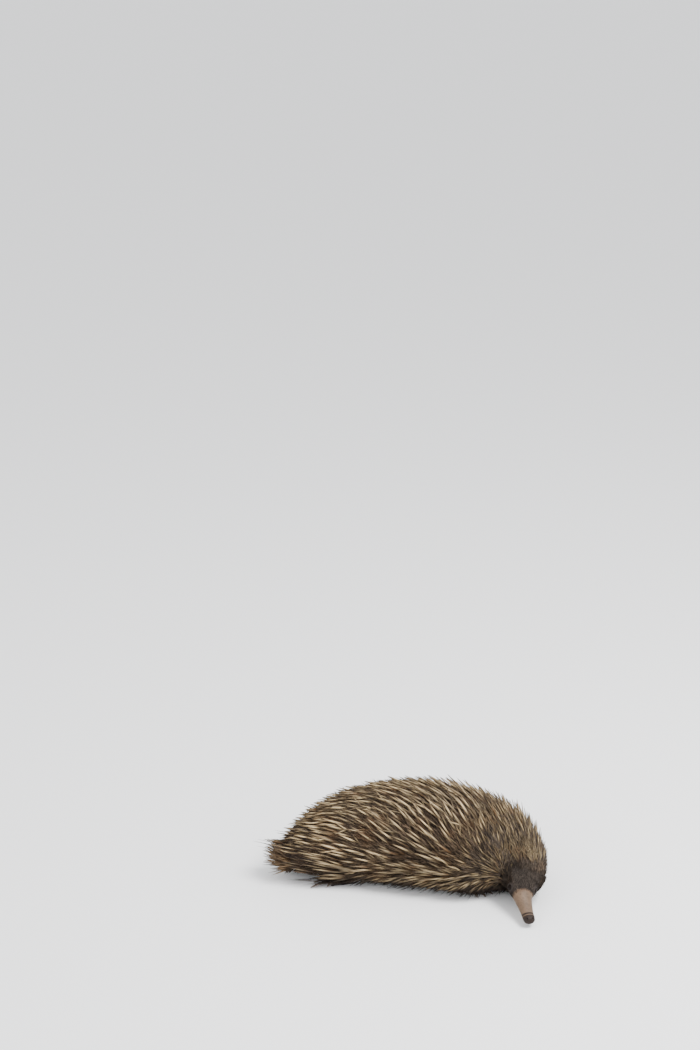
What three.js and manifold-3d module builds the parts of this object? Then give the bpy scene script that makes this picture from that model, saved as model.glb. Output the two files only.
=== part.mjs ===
// A short-beaked echidna at life size. It crouches low, with the trunk curved to its right and the tip
// of its beak just over the floor.
//
// Millimetres, +Z up, standing on z = 0. +X runs forward along the middle of the trunk, +Y is to the
// animal's left, and the head is turned towards -Y. At the end the whole group is centred on the
// origin.
//
// One surface carries the trunk, neck, head and beak. It is a row of named sections on a curved line.
// Each section has a half width to the sides, a rise above the line and a drop below it. Spines are
// rooted in that surface.

import * as THREE from "three";
import { mergeVertices } from "three/addons/utils/BufferGeometryUtils.js";
import Module from "manifold-3d";

const wasm = await Module();
wasm.setup();

const GAP = 0.3; // left between pieces that touch
const DEGREE = Math.PI / 180;
const UP = new THREE.Vector3(0, 0, 1);

// Sections from the rump to the tip of the beak: the line's place, then the section's sizes round it.
// The roll leans the section's top towards the animal's left. The coat is how far the tips of the
// spines stand off the surface, and the spine is their length.
const SECTIONS = [
  { name: "rump end", at: [-152, 6, 23], half: 15, rise: 12, drop: 9, roll: 0, coat: 13, spine: 28 },
  { name: "rump", at: [-128, 19, 28], half: 37, rise: 26, drop: 16, roll: 0, coat: 16, spine: 38 },
  { name: "hips", at: [-90, 35, 32], half: 57, rise: 46, drop: 25, roll: 0, coat: 16, spine: 48 },
  { name: "loin", at: [-42, 43, 36], half: 69, rise: 57, drop: 29, roll: 0, coat: 15, spine: 52 },
  { name: "middle", at: [8, 39, 37], half: 74, rise: 61, drop: 30, roll: 0, coat: 15, spine: 52 },
  { name: "ribs", at: [55, 25, 37], half: 71, rise: 60, drop: 30, roll: 0, coat: 18, spine: 50 },
  { name: "shoulders", at: [95, 3, 36], half: 64, rise: 52, drop: 29, roll: 1, coat: 19, spine: 44 },
  { name: "nape", at: [122, -22, 35], half: 47, rise: 37, drop: 26, roll: 5, coat: 19, spine: 36 },
  { name: "back of head", at: [135, -47, 32], half: 28, rise: 20, drop: 20, roll: 9, coat: 9, spine: 22 },
  { name: "eyes", at: [134, -69, 27.5], half: 19.5, rise: 13, drop: 15, roll: 10, coat: 0, spine: 10 },
  { name: "root of beak", at: [133.5, -86, 22], half: 12, rise: 9, drop: 10, roll: 8, coat: 0, spine: 0 },
  { name: "mid beak", at: [136.3, -104, 15], half: 8.3, rise: 5.8, drop: 6.1, roll: 4, coat: 0, spine: 0 },
  { name: "lips", at: [139.2, -119, 9.4], half: 6.9, rise: 5.1, drop: 5.3, roll: 0, coat: 0, spine: 0 },
];
const LONGEST_SPINE = Math.max(...SECTIONS.map((section) => section.spine));
const place = (name) => SECTIONS.findIndex((section) => section.name === name);

// How square the lower half of the trunk's sections is: 1 is round, and less is squarer, like a hanging
// skirt.
const SKIRT = 0.6;

// Where one named part of the body ends and the next begins, counted in sections.
const TRUNK_FROM = place("rump end") + 0.25;
const NECK_FROM = place("shoulders") + 0.45;
const HEAD_FROM = place("back of head");
const BEAK_FROM = place("root of beak");
const BEAK_TO = place("lips");

const TAIL = { length: 13, lift: 4, sides: 16, spines: 34, spine: 27, thick: 1.3, fan: 0.55 };
const EYE = { at: place("eyes") + 0.41, turn: 15, radius: 3.9, sunk: 2.4, lid: 0.9 };
const EAR = { at: place("back of head") + 0.4, turnFrom: -12, turnTo: 34, thick: 2.1, bow: 0.16 };
const NOSTRIL = { back: 2.2, turn: 52, length: 1.7, width: 0.9 };
const MOUTH = { length: 9, width: 4.2, height: 0.7, below: 1.6 };

// A spine's sizes. Its root is sunk below the surface, and its tip varies about the coat's depth.
const SPINE = { thick: 4.4, thin: 3, sunk: 4, floor: 3.5, clear: 0.4, apart: 2.6 };

// The least distance between the roots of spines, and how many places are tried for them.
const SPACING = { trunk: 9.1, nape: 6.9, tries: 9000 };

// Which way the spines lie, in degrees from straight back towards the midline of the back. Each pair
// holds how far round from that midline a spine is rooted, in degrees, and its lie there.
const LIE = [
  [0, 0],
  [28, 18],
  [55, 35],
  [75, 31],
  [92, 16],
  [106, 0],
  [124, -17],
  [180, -34],
];

// Towards the rump the spines turn from that lie to one shared way, straight back and a little up. They
// begin to turn at one place and have turned by the whole share at the other, counted in sections.
const REAR = { begins: 3.4, done: 0.9, share: 0.75 };

// Each leg: where on the line it grows, how far out its foot stands, and where its toes point, in
// degrees from straight ahead round to the outer side. The toes' claws have their own lengths, from the
// inner toe outwards.
const LEGS = [
  {
    name: "front",
    at: place("shoulders") - 0.15,
    out: 29,
    ahead: 0,
    thick: 17,
    point: 6,
    sole: [26, 24, 11],
    claws: [13, 17, 19, 17, 12],
    clawHalf: 2.7,
    splay: 15,
  },
  {
    name: "rear",
    at: place("hips") - 0.2,
    out: 38,
    ahead: 0,
    thick: 18,
    point: 190,
    sole: [28, 22, 11],
    claws: [6, 26, 19, 13, 10],
    clawHalf: 2.2,
    splay: 14,
  },
];
const SIDES = [
  { name: "left", sign: 1 },
  { name: "right", sign: -1 },
];

// A smooth curve through a row of numbers, one for each section: Catmull and Rom's cubic.
function along(row, t) {
  const last = row.length - 1;
  const i = Math.min(Math.max(Math.floor(t), 0), last - 1);
  const s = t - i;
  const b = row[i];
  const c = row[i + 1];
  const a = i > 0 ? row[i - 1] : 2 * b - c;
  const d = i + 2 <= last ? row[i + 2] : 2 * c - b;
  return b + (s * (c - a + s * (2 * a - 5 * b + 4 * c - d + s * (3 * (b - c) + d - a)))) / 2;
}

const ROWS = {
  x: SECTIONS.map((section) => section.at[0]),
  y: SECTIONS.map((section) => section.at[1]),
  z: SECTIONS.map((section) => section.at[2]),
  half: SECTIONS.map((section) => section.half),
  rise: SECTIONS.map((section) => section.rise),
  drop: SECTIONS.map((section) => section.drop),
  roll: SECTIONS.map((section) => section.roll * DEGREE),
  coat: SECTIONS.map((section) => section.coat),
  spine: SECTIONS.map((section) => section.spine),
};

const linePoint = (t) => new THREE.Vector3(along(ROWS.x, t), along(ROWS.y, t), along(ROWS.z, t));

// The line's own axes at t: ahead, to the animal's left, and up, with the section's roll.
function axesAt(t) {
  const step = 0.02;
  const ahead = linePoint(t + step).sub(linePoint(t - step)).normalize();
  const left = new THREE.Vector3(-ahead.y, ahead.x, 0).normalize();
  const roll = along(ROWS.roll, t);
  left.applyAxisAngle(ahead, -roll);
  return { ahead, left, up: new THREE.Vector3().crossVectors(ahead, left) };
}

// A point of the surface: t counts sections, turn goes from the left side (0) over the back (a quarter)
// and round.
function surfacePoint(t, turn, grow = 0) {
  const { left, up } = axesAt(t);
  const low = Math.sin(turn) < 0;
  const rounded = THREE.MathUtils.smoothstep(t, NECK_FROM, HEAD_FROM + 0.5);
  const square = low ? THREE.MathUtils.lerp(SKIRT, 1, rounded) : 1;
  const bent = (share) => Math.sign(share) * Math.abs(share) ** square;
  const across = (along(ROWS.half, t) + grow) * bent(Math.cos(turn));
  const reach = (along(low ? ROWS.drop : ROWS.rise, t) + grow) * bent(Math.sin(turn));
  return linePoint(t).addScaledVector(left, across).addScaledVector(up, reach);
}

// The outward normal of the surface, and the way ahead along it.
function surfaceAxes(t, turn) {
  const step = 0.01;
  const ahead = surfacePoint(t + step, turn).sub(surfacePoint(t - step, turn)).normalize();
  const round = surfacePoint(t, turn + step).sub(surfacePoint(t, turn - step)).normalize();
  return { ahead, round, normal: new THREE.Vector3().crossVectors(round, ahead).normalize() };
}

// A closed body through rings of points. A ring of one point is a pole, and an end ring of many gets a
// flat cap.
function loft(rings) {
  const points = [];
  const starts = rings.map((ring) => points.push(...ring) - ring.length);
  const faces = [];
  for (let i = 0; i + 1 < rings.length; i += 1) {
    const here = rings[i].length;
    const next = rings[i + 1].length;
    const sides = Math.max(here, next);
    for (let j = 0; j < sides; j += 1) {
      const k = (j + 1) % sides;
      const a = starts[i] + (j % here);
      const b = starts[i] + (k % here);
      const c = starts[i + 1] + (j % next);
      const d = starts[i + 1] + (k % next);
      if (here > 1) faces.push(a, b, c);
      if (next > 1) faces.push(b, d, c);
    }
  }
  const cap = (index, outwards) => {
    const ring = rings[index];
    if (ring.length === 1) return;
    const middle = ring.reduce((sum, p) => sum.add(p), new THREE.Vector3()).divideScalar(ring.length);
    const centre = points.push(middle) - 1;
    ring.forEach((_, j) => {
      const a = starts[index] + j;
      const b = starts[index] + ((j + 1) % ring.length);
      faces.push(centre, outwards ? a : b, outwards ? b : a);
    });
  };
  cap(0, false);
  cap(rings.length - 1, true);
  return new THREE.BufferGeometry().setFromPoints(points).setIndex(faces);
}

// Rings of the surface from one t to another. The first is moved ahead by shift, to leave a gap.
function stretch({ from, to, rings, sides, grow = 0, shift = 0 }) {
  const made = [];
  for (let i = 0; i <= rings; i += 1) {
    const t = from + ((to - from) * i) / rings;
    const nudge = i === 0 ? axesAt(t).ahead.multiplyScalar(shift) : new THREE.Vector3();
    const ring = [];
    for (let j = 0; j < sides; j += 1) {
      ring.push(surfacePoint(t, (2 * Math.PI * j) / sides, grow).add(nudge));
    }
    made.push(ring);
  }
  return made;
}

function solidOf(geometry) {
  const bare = geometry.clone();
  bare.deleteAttribute("normal");
  bare.deleteAttribute("uv");
  const merged = mergeVertices(bare, 1e-4);
  return new wasm.Manifold(
    new wasm.Mesh({
      numProp: 3,
      vertProperties: merged.attributes.position.array,
      triVerts: new Uint32Array(merged.index.array),
    }),
  );
}

// The largest closed surface of a solid, which drops loose scraps and fills what fusing has sealed.
function largest(solid) {
  const pieces = solid.decompose();
  return pieces.reduce((best, piece) => (piece.volume() > best.volume() ? piece : best));
}

function geometryOf(solid) {
  const mesh = solid.getMesh();
  return new THREE.BufferGeometry()
    .setAttribute("position", new THREE.BufferAttribute(new Float32Array(mesh.vertProperties), 3))
    .setIndex(new THREE.BufferAttribute(new Uint32Array(mesh.triVerts), 1));
}

// A ball stretched along three given axes, for pits and for the mouth.
function ovoid(centre, axes, radii, sides = 10) {
  const ball = new THREE.SphereGeometry(1, sides, Math.ceil(sides * 0.7));
  const matrix = new THREE.Matrix4().makeBasis(
    ...axes.map((axis, i) => axis.clone().multiplyScalar(radii[i])),
  );
  return ball.applyMatrix4(matrix.setPosition(centre));
}

// A tube of elliptic sections along a curve. width and height are functions of the share of its length,
// and a size of nothing closes an end in a point.
function tube({ points, width, height, up, sides, rings, grow = 0, floor = -Infinity }) {
  const curve = new THREE.CatmullRomCurve3(points);
  const made = [];
  for (let i = 0; i <= rings; i += 1) {
    const share = i / rings;
    const centre = curve.getPoint(share);
    const ahead = curve.getTangent(share);
    const left = new THREE.Vector3().crossVectors(up, ahead).normalize();
    const over = new THREE.Vector3().crossVectors(ahead, left);
    if (width(share) === 0) {
      made.push([centre]);
      continue;
    }
    const ring = [];
    for (let j = 0; j < sides; j += 1) {
      const turn = (2 * Math.PI * j) / sides;
      const point = centre
        .clone()
        .addScaledVector(left, (width(share) + grow) * Math.cos(turn))
        .addScaledVector(over, (height(share) + grow) * Math.sin(turn));
      point.z = Math.max(point.z, floor);
      ring.push(point);
    }
    made.push(ring);
  }
  return loft(made);
}

const animal = new THREE.Group();

function addNode(name, geometry, look) {
  const mesh = new THREE.Mesh(geometry, new THREE.MeshStandardMaterial(look));
  mesh.name = name;
  animal.add(mesh);
}

const LOOKS = {
  spines: { color: 0x9c845c, roughness: 0.6, metalness: 0 },
  fur: { color: 0x3a2c24, roughness: 0.9, metalness: 0 },
  bill: { color: 0x9a8070, roughness: 0.6, metalness: 0 },
  eye: { color: 0x0b0a0a, roughness: 0.15, metalness: 0 },
  claw: { color: 0x4a3f36, roughness: 0.5, metalness: 0 },
};

// Cores of the trunk, the neck and the tail. Their spines come last, when the pieces they must clear
// are known.
const trunkRings = { from: TRUNK_FROM, to: NECK_FROM, rings: 18, sides: 22 };
const neckRings = { from: NECK_FROM, to: HEAD_FROM, rings: 6, sides: 22 };
const trunkCore = solidOf(loft(stretch(trunkRings)));
const neckCore = solidOf(loft(stretch({ ...neckRings, shift: GAP })));
const trunkGrown = solidOf(loft(stretch({ ...trunkRings, grow: 2 * GAP })));
const neckGrown = solidOf(loft(stretch({ ...neckRings, grow: 2 * GAP })));

const RUMP_WAY = new THREE.Vector3(-0.93, -0.06, 0.3); // how the spines at the end of the rump point
const tailEnd = linePoint(TRUNK_FROM);
const tailAhead = axesAt(TRUNK_FROM).ahead;
const tailCore = (() => {
  const ring = stretch({ ...trunkRings, sides: TAIL.sides, rings: 1 })[0];
  const moved = (point, share) =>
    point.addScaledVector(tailAhead, -TAIL.length * share).addScaledVector(UP, TAIL.lift * share);
  const scaled = (size, share) =>
    ring.map((point) => moved(point.clone().lerp(tailEnd, 1 - size), share));
  const steps = [[0.5, 0.88], [0.8, 0.55], [0.97, GAP / TAIL.length]];
  const rings = steps.map(([size, share]) => scaled(size, share));
  return solidOf(loft([[moved(tailEnd.clone(), 1)], ...rings]));
})();

// Head, with a socket and a rim of lids for each eye, and an ear on each side
const headRings = { from: HEAD_FROM, to: BEAK_FROM, rings: 12, sides: 24 };
let head = solidOf(loft(stretch({ ...headRings, shift: GAP })));
const headGrown = solidOf(loft(stretch({ ...headRings, grow: GAP })));
const clearOf = [];

for (const side of SIDES) {
  const turnOf = (degrees) => (side.sign > 0 ? degrees : 180 - degrees) * DEGREE;

  const turn = turnOf(EYE.turn);
  const { ahead, round, normal } = surfaceAxes(EYE.at, turn);
  const centre = surfacePoint(EYE.at, turn).addScaledVector(normal, -EYE.sunk);
  const lidCentre = centre.clone().addScaledVector(normal, EYE.sunk * 0.8);
  const lid = new THREE.TorusGeometry(EYE.radius, EYE.lid, 6, 14);
  lid.applyMatrix4(new THREE.Matrix4().makeBasis(round, ahead, normal).setPosition(lidCentre));
  const ball = (radius) => ovoid(centre, [round, ahead, normal], [radius, radius, radius], 14);
  head = head.add(solidOf(lid)).subtract(solidOf(ball(EYE.radius + GAP)));
  addNode(`eye_${side.name}`, ball(EYE.radius), LOOKS.eye);

  const rim = [0, 0.25, 0.5, 0.75, 1].map((share) => {
    const at = EAR.at - EAR.bow * Math.sin(Math.PI * share);
    const rimTurn = turnOf(THREE.MathUtils.lerp(EAR.turnFrom, EAR.turnTo, share));
    return surfacePoint(at, rimTurn).addScaledVector(surfaceAxes(at, rimTurn).normal, EAR.thick * 0.35);
  });
  const height = (share) => 0.5 + EAR.thick * Math.sin(Math.PI * share) ** 0.7;
  const width = (share) => height(share) * 0.8;
  const ear = tube({ points: rim, width, height, up: normal, sides: 8, rings: 8 });
  const earSolid = largest(solidOf(ear).subtract(headGrown).subtract(neckGrown));
  clearOf.push(earSolid);
  addNode(`ear_${side.name}`, geometryOf(earSolid), LOOKS.fur);
}
clearOf.push(head);
addNode("head", geometryOf(largest(head)), LOOKS.fur);

// Beak, closed in a blunt round tip, with two nostrils on top and the slit of the mouth underneath
{
  const rings = stretch({ from: BEAK_FROM, to: BEAK_TO, rings: 12, sides: 20, shift: GAP });
  const { ahead, left, up } = axesAt(BEAK_TO);
  const end = linePoint(BEAK_TO);
  const last = rings[rings.length - 1];
  for (const [share, reach] of [[0.93, 2], [0.68, 4]]) {
    rings.push(last.map((point) => point.clone().lerp(end, 1 - share).addScaledVector(ahead, reach)));
  }
  rings.push([end.clone().addScaledVector(ahead, 5)]);
  let beak = solidOf(loft(rings));
  for (const side of SIDES) {
    const turn = (side.sign > 0 ? NOSTRIL.turn : 180 - NOSTRIL.turn) * DEGREE;
    const at = surfacePoint(BEAK_TO, turn).addScaledVector(ahead, NOSTRIL.back * 0.3);
    beak = beak.subtract(solidOf(ovoid(at, [ahead, left, up], [NOSTRIL.length, NOSTRIL.width, 1.2], 8)));
  }
  const mouth = end.clone().addScaledVector(up, -MOUTH.below).addScaledVector(ahead, 3);
  const slit = ovoid(mouth, [ahead, left, up], [MOUTH.length / 2, MOUTH.width * 1.6, MOUTH.height], 12);
  beak = beak.subtract(solidOf(slit));
  addNode("beak", geometryOf(largest(beak)), LOOKS.bill);
}

// Legs, each with a flat sole on the floor, five toes, and a claw in a socket of each toe
for (const leg of LEGS) {
  for (const side of SIDES) {
    const { ahead, left } = axesAt(leg.at);
    const outwards = left.clone().multiplyScalar(side.sign).setZ(0).normalize();
    const forward = ahead.clone().setZ(0).normalize();
    const root = linePoint(leg.at);
    const heading = (degrees) => {
      const angle = degrees * DEGREE;
      return forward.clone().multiplyScalar(Math.cos(angle)).addScaledVector(outwards, Math.sin(angle));
    };
    const foot = root.clone().addScaledVector(outwards, leg.out);
    foot.addScaledVector(forward, leg.ahead).setZ(0);
    const [length, width, height] = leg.sole;
    const toes = heading(leg.point);
    const back = foot.clone().addScaledVector(toes, -length / 2);
    const front = foot.clone().addScaledVector(toes, length / 2);

    const shoulder = root.clone().addScaledVector(outwards, leg.out * 0.6).setZ(34);
    const limb = tube({
      points: [shoulder, shoulder.clone().lerp(foot, 0.55).setZ(18), foot.clone().setZ(5)],
      width: (s) => leg.thick - 6 * s,
      height: (s) => leg.thick - 5 * s,
      up: forward,
      sides: 12,
      rings: 4,
      floor: 0,
    });
    const bulge = (s) => Math.sin(Math.PI * (0.18 + 0.68 * s)) ** 0.6;
    const sole = tube({
      points: [back.setZ(0), foot.clone().setZ(0), front.setZ(0)],
      width: (s) => (width / 2) * bulge(s),
      height: (s) => height * bulge(s),
      up: UP,
      sides: 12,
      rings: 5,
      floor: 0,
    });
    let solid = solidOf(limb).add(solidOf(sole));

    const claws = leg.claws.map((clawLength, i) => {
      const fan = i - 2;
      const way = heading(leg.point + fan * leg.splay);
      const base = foot
        .clone()
        .addScaledVector(toes, length * 0.26)
        .addScaledVector(heading(leg.point + 90), fan * width * 0.17);
      const knuckle = base.clone().addScaledVector(way, 9);
      const half = leg.clawHalf * (0.8 + 0.2 * (clawLength / 19));
      const toe = tube({
        points: [base.clone().setZ(3.2), knuckle.clone().setZ(3.2)],
        width: () => half + 1.1,
        height: () => 3.4,
        up: UP,
        sides: 8,
        rings: 1,
        floor: 0,
      });
      solid = solid.add(solidOf(toe));
      const reach = (far, z) => knuckle.clone().addScaledVector(way, far).setZ(z);
      return (grow) =>
        tube({
          points: [reach(-3 - grow, 3.4), reach(clawLength / 2, 4.2), reach(clawLength + grow, 1.2)],
          width: (s) => (s < 1 ? half * (1 - 0.55 * s * s) : 0),
          height: (s) => (s < 1 ? 1.9 * (1 - 0.6 * s) : 0),
          up: UP,
          sides: 6,
          rings: 4,
          grow,
        });
    });
    claws.forEach((claw, i) => {
      solid = solid.subtract(solidOf(claw(GAP)));
      clearOf.push(solidOf(claw(0)));
      addNode(`claw_${leg.name}_${side.name}_${i + 1}`, claw(0), LOOKS.claw);
    });
    solid = largest(solid.subtract(trunkGrown).subtract(neckGrown));
    clearOf.push(solid);
    addNode(`leg_${leg.name}_${side.name}`, geometryOf(solid), LOOKS.fur);
  }
}

// Spines. Each goes from a root under the surface to a tip over the place that its lie leads to.
let seed = 4750;
function random() {
  seed = (seed + 0x6d2b79f5) | 0;
  let mixed = Math.imul(seed ^ (seed >>> 15), 1 | seed);
  mixed = (mixed + Math.imul(mixed ^ (mixed >>> 7), 61 | mixed)) ^ mixed;
  return ((mixed ^ (mixed >>> 14)) >>> 0) / 4294967296;
}
const vary = (amount) => 1 + amount * (2 * random() - 1);

// The lie at a turn, in radians, from the table of pairs.
function lieAt(turn) {
  const off = Math.abs(THREE.MathUtils.euclideanModulo(turn / DEGREE - 90 + 180, 360) - 180);
  const next = Math.max(LIE.findIndex(([from]) => from > off), 1);
  const [low, high] = [LIE[next - 1], LIE[next]];
  return THREE.MathUtils.lerp(low[1], high[1], (off - low[0]) / (high[0] - low[0])) * DEGREE;
}

// Where a walk of some length over the surface ends, straight back but turned by the lie. Beyond the
// rump's end it goes on through the air.
function walk(t, turn, length, lie) {
  const steps = 6;
  const step = length / steps;
  const towardsBack = Math.cos(turn) > 0 ? 1 : -1;
  let [atT, atTurn] = [t, turn];
  for (let i = 0; i < steps; i += 1) {
    const small = 0.01;
    const perT = surfacePoint(atT + small, atTurn).distanceTo(surfacePoint(atT, atTurn)) / small;
    const perTurn = surfacePoint(atT, atTurn + small).distanceTo(surfacePoint(atT, atTurn)) / small;
    const nextT = atT - (step * Math.cos(lie)) / perT;
    if (nextT < 0.1) {
      const { ahead, normal } = surfaceAxes(atT, atTurn);
      const back = RUMP_WAY.clone().addScaledVector(ahead, -0.4).normalize();
      return { point: surfacePoint(atT, atTurn).addScaledVector(back, (steps - i) * step), normal };
    }
    atT = nextT;
    atTurn += (towardsBack * step * Math.sin(lie)) / perTurn;
  }
  return { point: surfacePoint(atT, atTurn), normal: surfaceAxes(atT, atTurn).normal };
}

// A thin three-sided spine that tapers all the way to its tip.
function spineSolid(root, tip, radius, grow = 0) {
  const ahead = tip.clone().sub(root).normalize();
  const side = new THREE.Vector3().crossVectors(UP, ahead).normalize();
  const over = new THREE.Vector3().crossVectors(ahead, side);
  const corners = [90, 210, 330].map((degrees) =>
    root
      .clone()
      .addScaledVector(side, (radius + grow) * Math.cos(degrees * DEGREE))
      .addScaledVector(over, (radius + grow) * Math.sin(degrees * DEGREE)),
  );
  return solidOf(loft([corners, [tip.clone().addScaledVector(ahead, 2 * grow)]]));
}

// The least distance between two straight lines with ends.
function distanceBetween(one, two) {
  const u = one.tip.clone().sub(one.root);
  const v = two.tip.clone().sub(two.root);
  const w = one.root.clone().sub(two.root);
  const [uu, uv, vv, uw, vw] = [u.dot(u), u.dot(v), v.dot(v), u.dot(w), v.dot(w)];
  const clamp = (value) => Math.min(Math.max(value, 0), 1);
  const parallel = uu * vv - uv * uv;
  let s = parallel > 1e-6 ? clamp((uv * vw - vv * uw) / parallel) : 0;
  const k = clamp((uv * s + vw) / vv);
  s = clamp((uv * k - uw) / uu);
  return w.addScaledVector(u, s).addScaledVector(v, -k).length();
}

const spines = [];

// Roots a node's spines at even distances over the surface, and returns the solid that they make with
// its core.
function withSpines({ node, core, from, to, apart, low, keepClear }) {
  const made = [core];
  const rooted = [];
  for (let i = 0; i < SPACING.tries; i += 1) {
    const t = THREE.MathUtils.lerp(from, to, random());
    const turn = THREE.MathUtils.lerp(low, 180 - low, random()) * DEGREE;
    const here = surfacePoint(t, turn);
    if (rooted.some((other) => other.distanceTo(here) < apart)) continue;
    const spine = rootedSpine(node, t, turn, keepClear);
    if (!spine) continue;
    rooted.push(here);
    spines.push(spine);
    made.push(spineSolid(spine.root, spine.tip, spine.radius));
  }
  return largest(wasm.Manifold.union(made));
}

// Shares of the length, the coat's depth and the root's depth that a spine is tried at, in turn.
const TRIES = [
  [1, 1, 1],
  [0.95, 0.85, 1],
  [1, 1.15, 1],
  [0.8, 1.1, 0.8],
  [0.75, 1.3, 0.65],
  [0.65, 1.2, 0.65],
];

// One spine, tried at a few lengths and lifts until it clears the other spines and the other nodes.
function rootedSpine(node, t, turn, keepClear) {
  const under = THREE.MathUtils.smoothstep(-Math.sin(turn), 0, 0.6);
  const share = along(ROWS.spine, t) / LONGEST_SPINE;
  const radius = THREE.MathUtils.lerp(SPINE.thin, SPINE.thick, share) * (0.5 - 0.1 * under);
  const rear = REAR.share * (1 - THREE.MathUtils.smoothstep(t, REAR.done, REAR.begins));
  for (const [shorter, higher, deep] of TRIES) {
    const rooted = surfacePoint(t, turn).addScaledVector(surfaceAxes(t, turn).normal, -SPINE.sunk * deep);
    const length = along(ROWS.spine, t) * vary(0.12) * shorter * (1 - 0.25 * under);
    const { point, normal } = walk(t, turn, length, lieAt(turn) + 0.12 * (vary(1) - 1));
    const tip = point.addScaledVector(normal, along(ROWS.coat, t) * vary(0.14) * higher * 0.95);
    tip.z = Math.max(tip.z, SPINE.floor);
    const reach = tip.distanceTo(rooted);
    const way = tip.clone().sub(rooted).normalize().lerp(RUMP_WAY, rear).normalize();
    const root = tip.clone().addScaledVector(way, -reach);
    root.z = Math.max(root.z, SPINE.floor + 1.5);
    const spine = { node, root, tip, radius };
    const crowded = spines.some((other) => {
      const apart = other.node === node ? SPINE.apart : 2 * radius + 0.8;
      return other.root.distanceTo(root) < 130 && distanceBetween(spine, other) < apart;
    });
    if (crowded) continue;
    if (spineSolid(root, tip, radius, SPINE.clear).intersect(keepClear).volume() > 0) continue;
    return spine;
  }
  return null;
}

const bare = wasm.Manifold.union(clearOf);
const torso = withSpines({
  node: "torso",
  core: trunkCore,
  from: TRUNK_FROM + 0.2,
  to: NECK_FROM - 0.1,
  apart: SPACING.trunk,
  low: -42,
  keepClear: wasm.Manifold.union([bare, neckGrown, tailCore]),
});
addNode("torso", geometryOf(torso), LOOKS.spines);
const neck = withSpines({
  node: "neck",
  core: neckCore,
  from: NECK_FROM + 0.12,
  to: HEAD_FROM - 0.05,
  apart: SPACING.nape,
  low: -35,
  keepClear: wasm.Manifold.union([bare, trunkGrown]),
});
addNode("neck", geometryOf(neck), LOOKS.spines);

// The tail's tuft fans out from the end of its stub.
const tuft = [tailCore];
const tailOthers = wasm.Manifold.union([bare, trunkGrown]);
for (let i = 0; i < TAIL.spines; i += 1) {
  const turn = (i + 0.4 * random()) * 137.5 * DEGREE;
  const share = Math.sqrt((i + 0.5) / TAIL.spines);
  const { left, up } = axesAt(TRUNK_FROM);
  const out = left.multiplyScalar(Math.cos(turn)).addScaledVector(up, Math.sin(turn));
  const way = RUMP_WAY.clone().addScaledVector(out, TAIL.fan * share).normalize();
  const root = tailEnd.clone().addScaledVector(tailAhead, -TAIL.length * (0.75 - 0.55 * share));
  root.addScaledVector(out, share * along(ROWS.rise, TRUNK_FROM) * 0.62);
  const tip = root.clone().addScaledVector(way, TAIL.spine * vary(0.15));
  tip.z = Math.max(tip.z, SPINE.floor);
  const spine = { node: "tail", root, tip };
  const crowded = spines.some((other) => {
    const apart = other.node === "tail" ? 1 : SPINE.thick / 2 + TAIL.thick + 0.5;
    return distanceBetween(spine, other) < apart;
  });
  const grown = spineSolid(root, tip, TAIL.thick, SPINE.clear);
  if (crowded || grown.intersect(tailOthers).volume() > 0) continue;
  spines.push(spine);
  tuft.push(spineSolid(root, tip, TAIL.thick));
}
addNode("tail", geometryOf(largest(wasm.Manifold.union(tuft))), LOOKS.spines);

// The group is centred over the origin, still standing on z = 0.
const middle = new THREE.Box3().setFromObject(animal).getCenter(new THREE.Vector3());
animal.position.set(-middle.x, -middle.y, 0);

export default animal;
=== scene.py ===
"""A short-beaked echidna at life size: its skin, fur, spines, eyes and claws over the CAD frame.

Sizes and places are in millimetres in the part's own working frame: +X forward along the trunk, +Y to the
animal's left, +Z up, the feet on z = 0. The shift from there to the frame's own origin is read from the
CAD at the start. Places on the body are given by t, which counts the named sections from the rump to the
lips, and by turn, the angle round a section: 0 on the left side, 90 degrees on top, 180 on the right.
"""

from __future__ import annotations

import logging
import math
from dataclasses import dataclass, field
from enum import Enum
from functools import partial
from typing import Callable, Sequence

import bpy
import numpy as np
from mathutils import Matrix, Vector

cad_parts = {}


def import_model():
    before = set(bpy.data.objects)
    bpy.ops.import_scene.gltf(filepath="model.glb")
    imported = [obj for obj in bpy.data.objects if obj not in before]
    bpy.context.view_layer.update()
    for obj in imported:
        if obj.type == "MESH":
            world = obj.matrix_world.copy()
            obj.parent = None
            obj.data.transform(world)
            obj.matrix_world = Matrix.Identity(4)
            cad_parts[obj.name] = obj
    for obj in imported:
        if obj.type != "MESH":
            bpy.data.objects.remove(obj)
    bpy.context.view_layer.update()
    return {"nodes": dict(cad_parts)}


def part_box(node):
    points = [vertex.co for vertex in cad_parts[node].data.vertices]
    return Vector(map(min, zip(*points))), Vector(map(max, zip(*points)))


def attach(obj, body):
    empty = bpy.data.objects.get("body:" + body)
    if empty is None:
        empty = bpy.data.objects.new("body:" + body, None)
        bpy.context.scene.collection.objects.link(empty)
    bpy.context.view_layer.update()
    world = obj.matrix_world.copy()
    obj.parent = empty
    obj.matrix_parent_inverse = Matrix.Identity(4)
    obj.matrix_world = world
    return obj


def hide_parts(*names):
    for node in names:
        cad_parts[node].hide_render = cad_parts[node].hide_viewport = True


LOG = logging.getLogger("echidna")
MM = 0.001
UP = np.array([0.0, 0.0, 1.0])
Array = np.ndarray
Colour = tuple[float, float, float]
Span = tuple[float, float]
Rule = Callable[[Array, Array], Array]


class Side(Enum):
    """The animal's own sides, with the sign of +Y."""

    LEFT = 1
    RIGHT = -1


def ear_name(side: Side) -> str:
    """The name of the ear on a side."""
    return f"ear_{side.name.lower()}"


def grey(level: float) -> Colour:
    """A grey of this level."""
    return (level,) * 3


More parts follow.
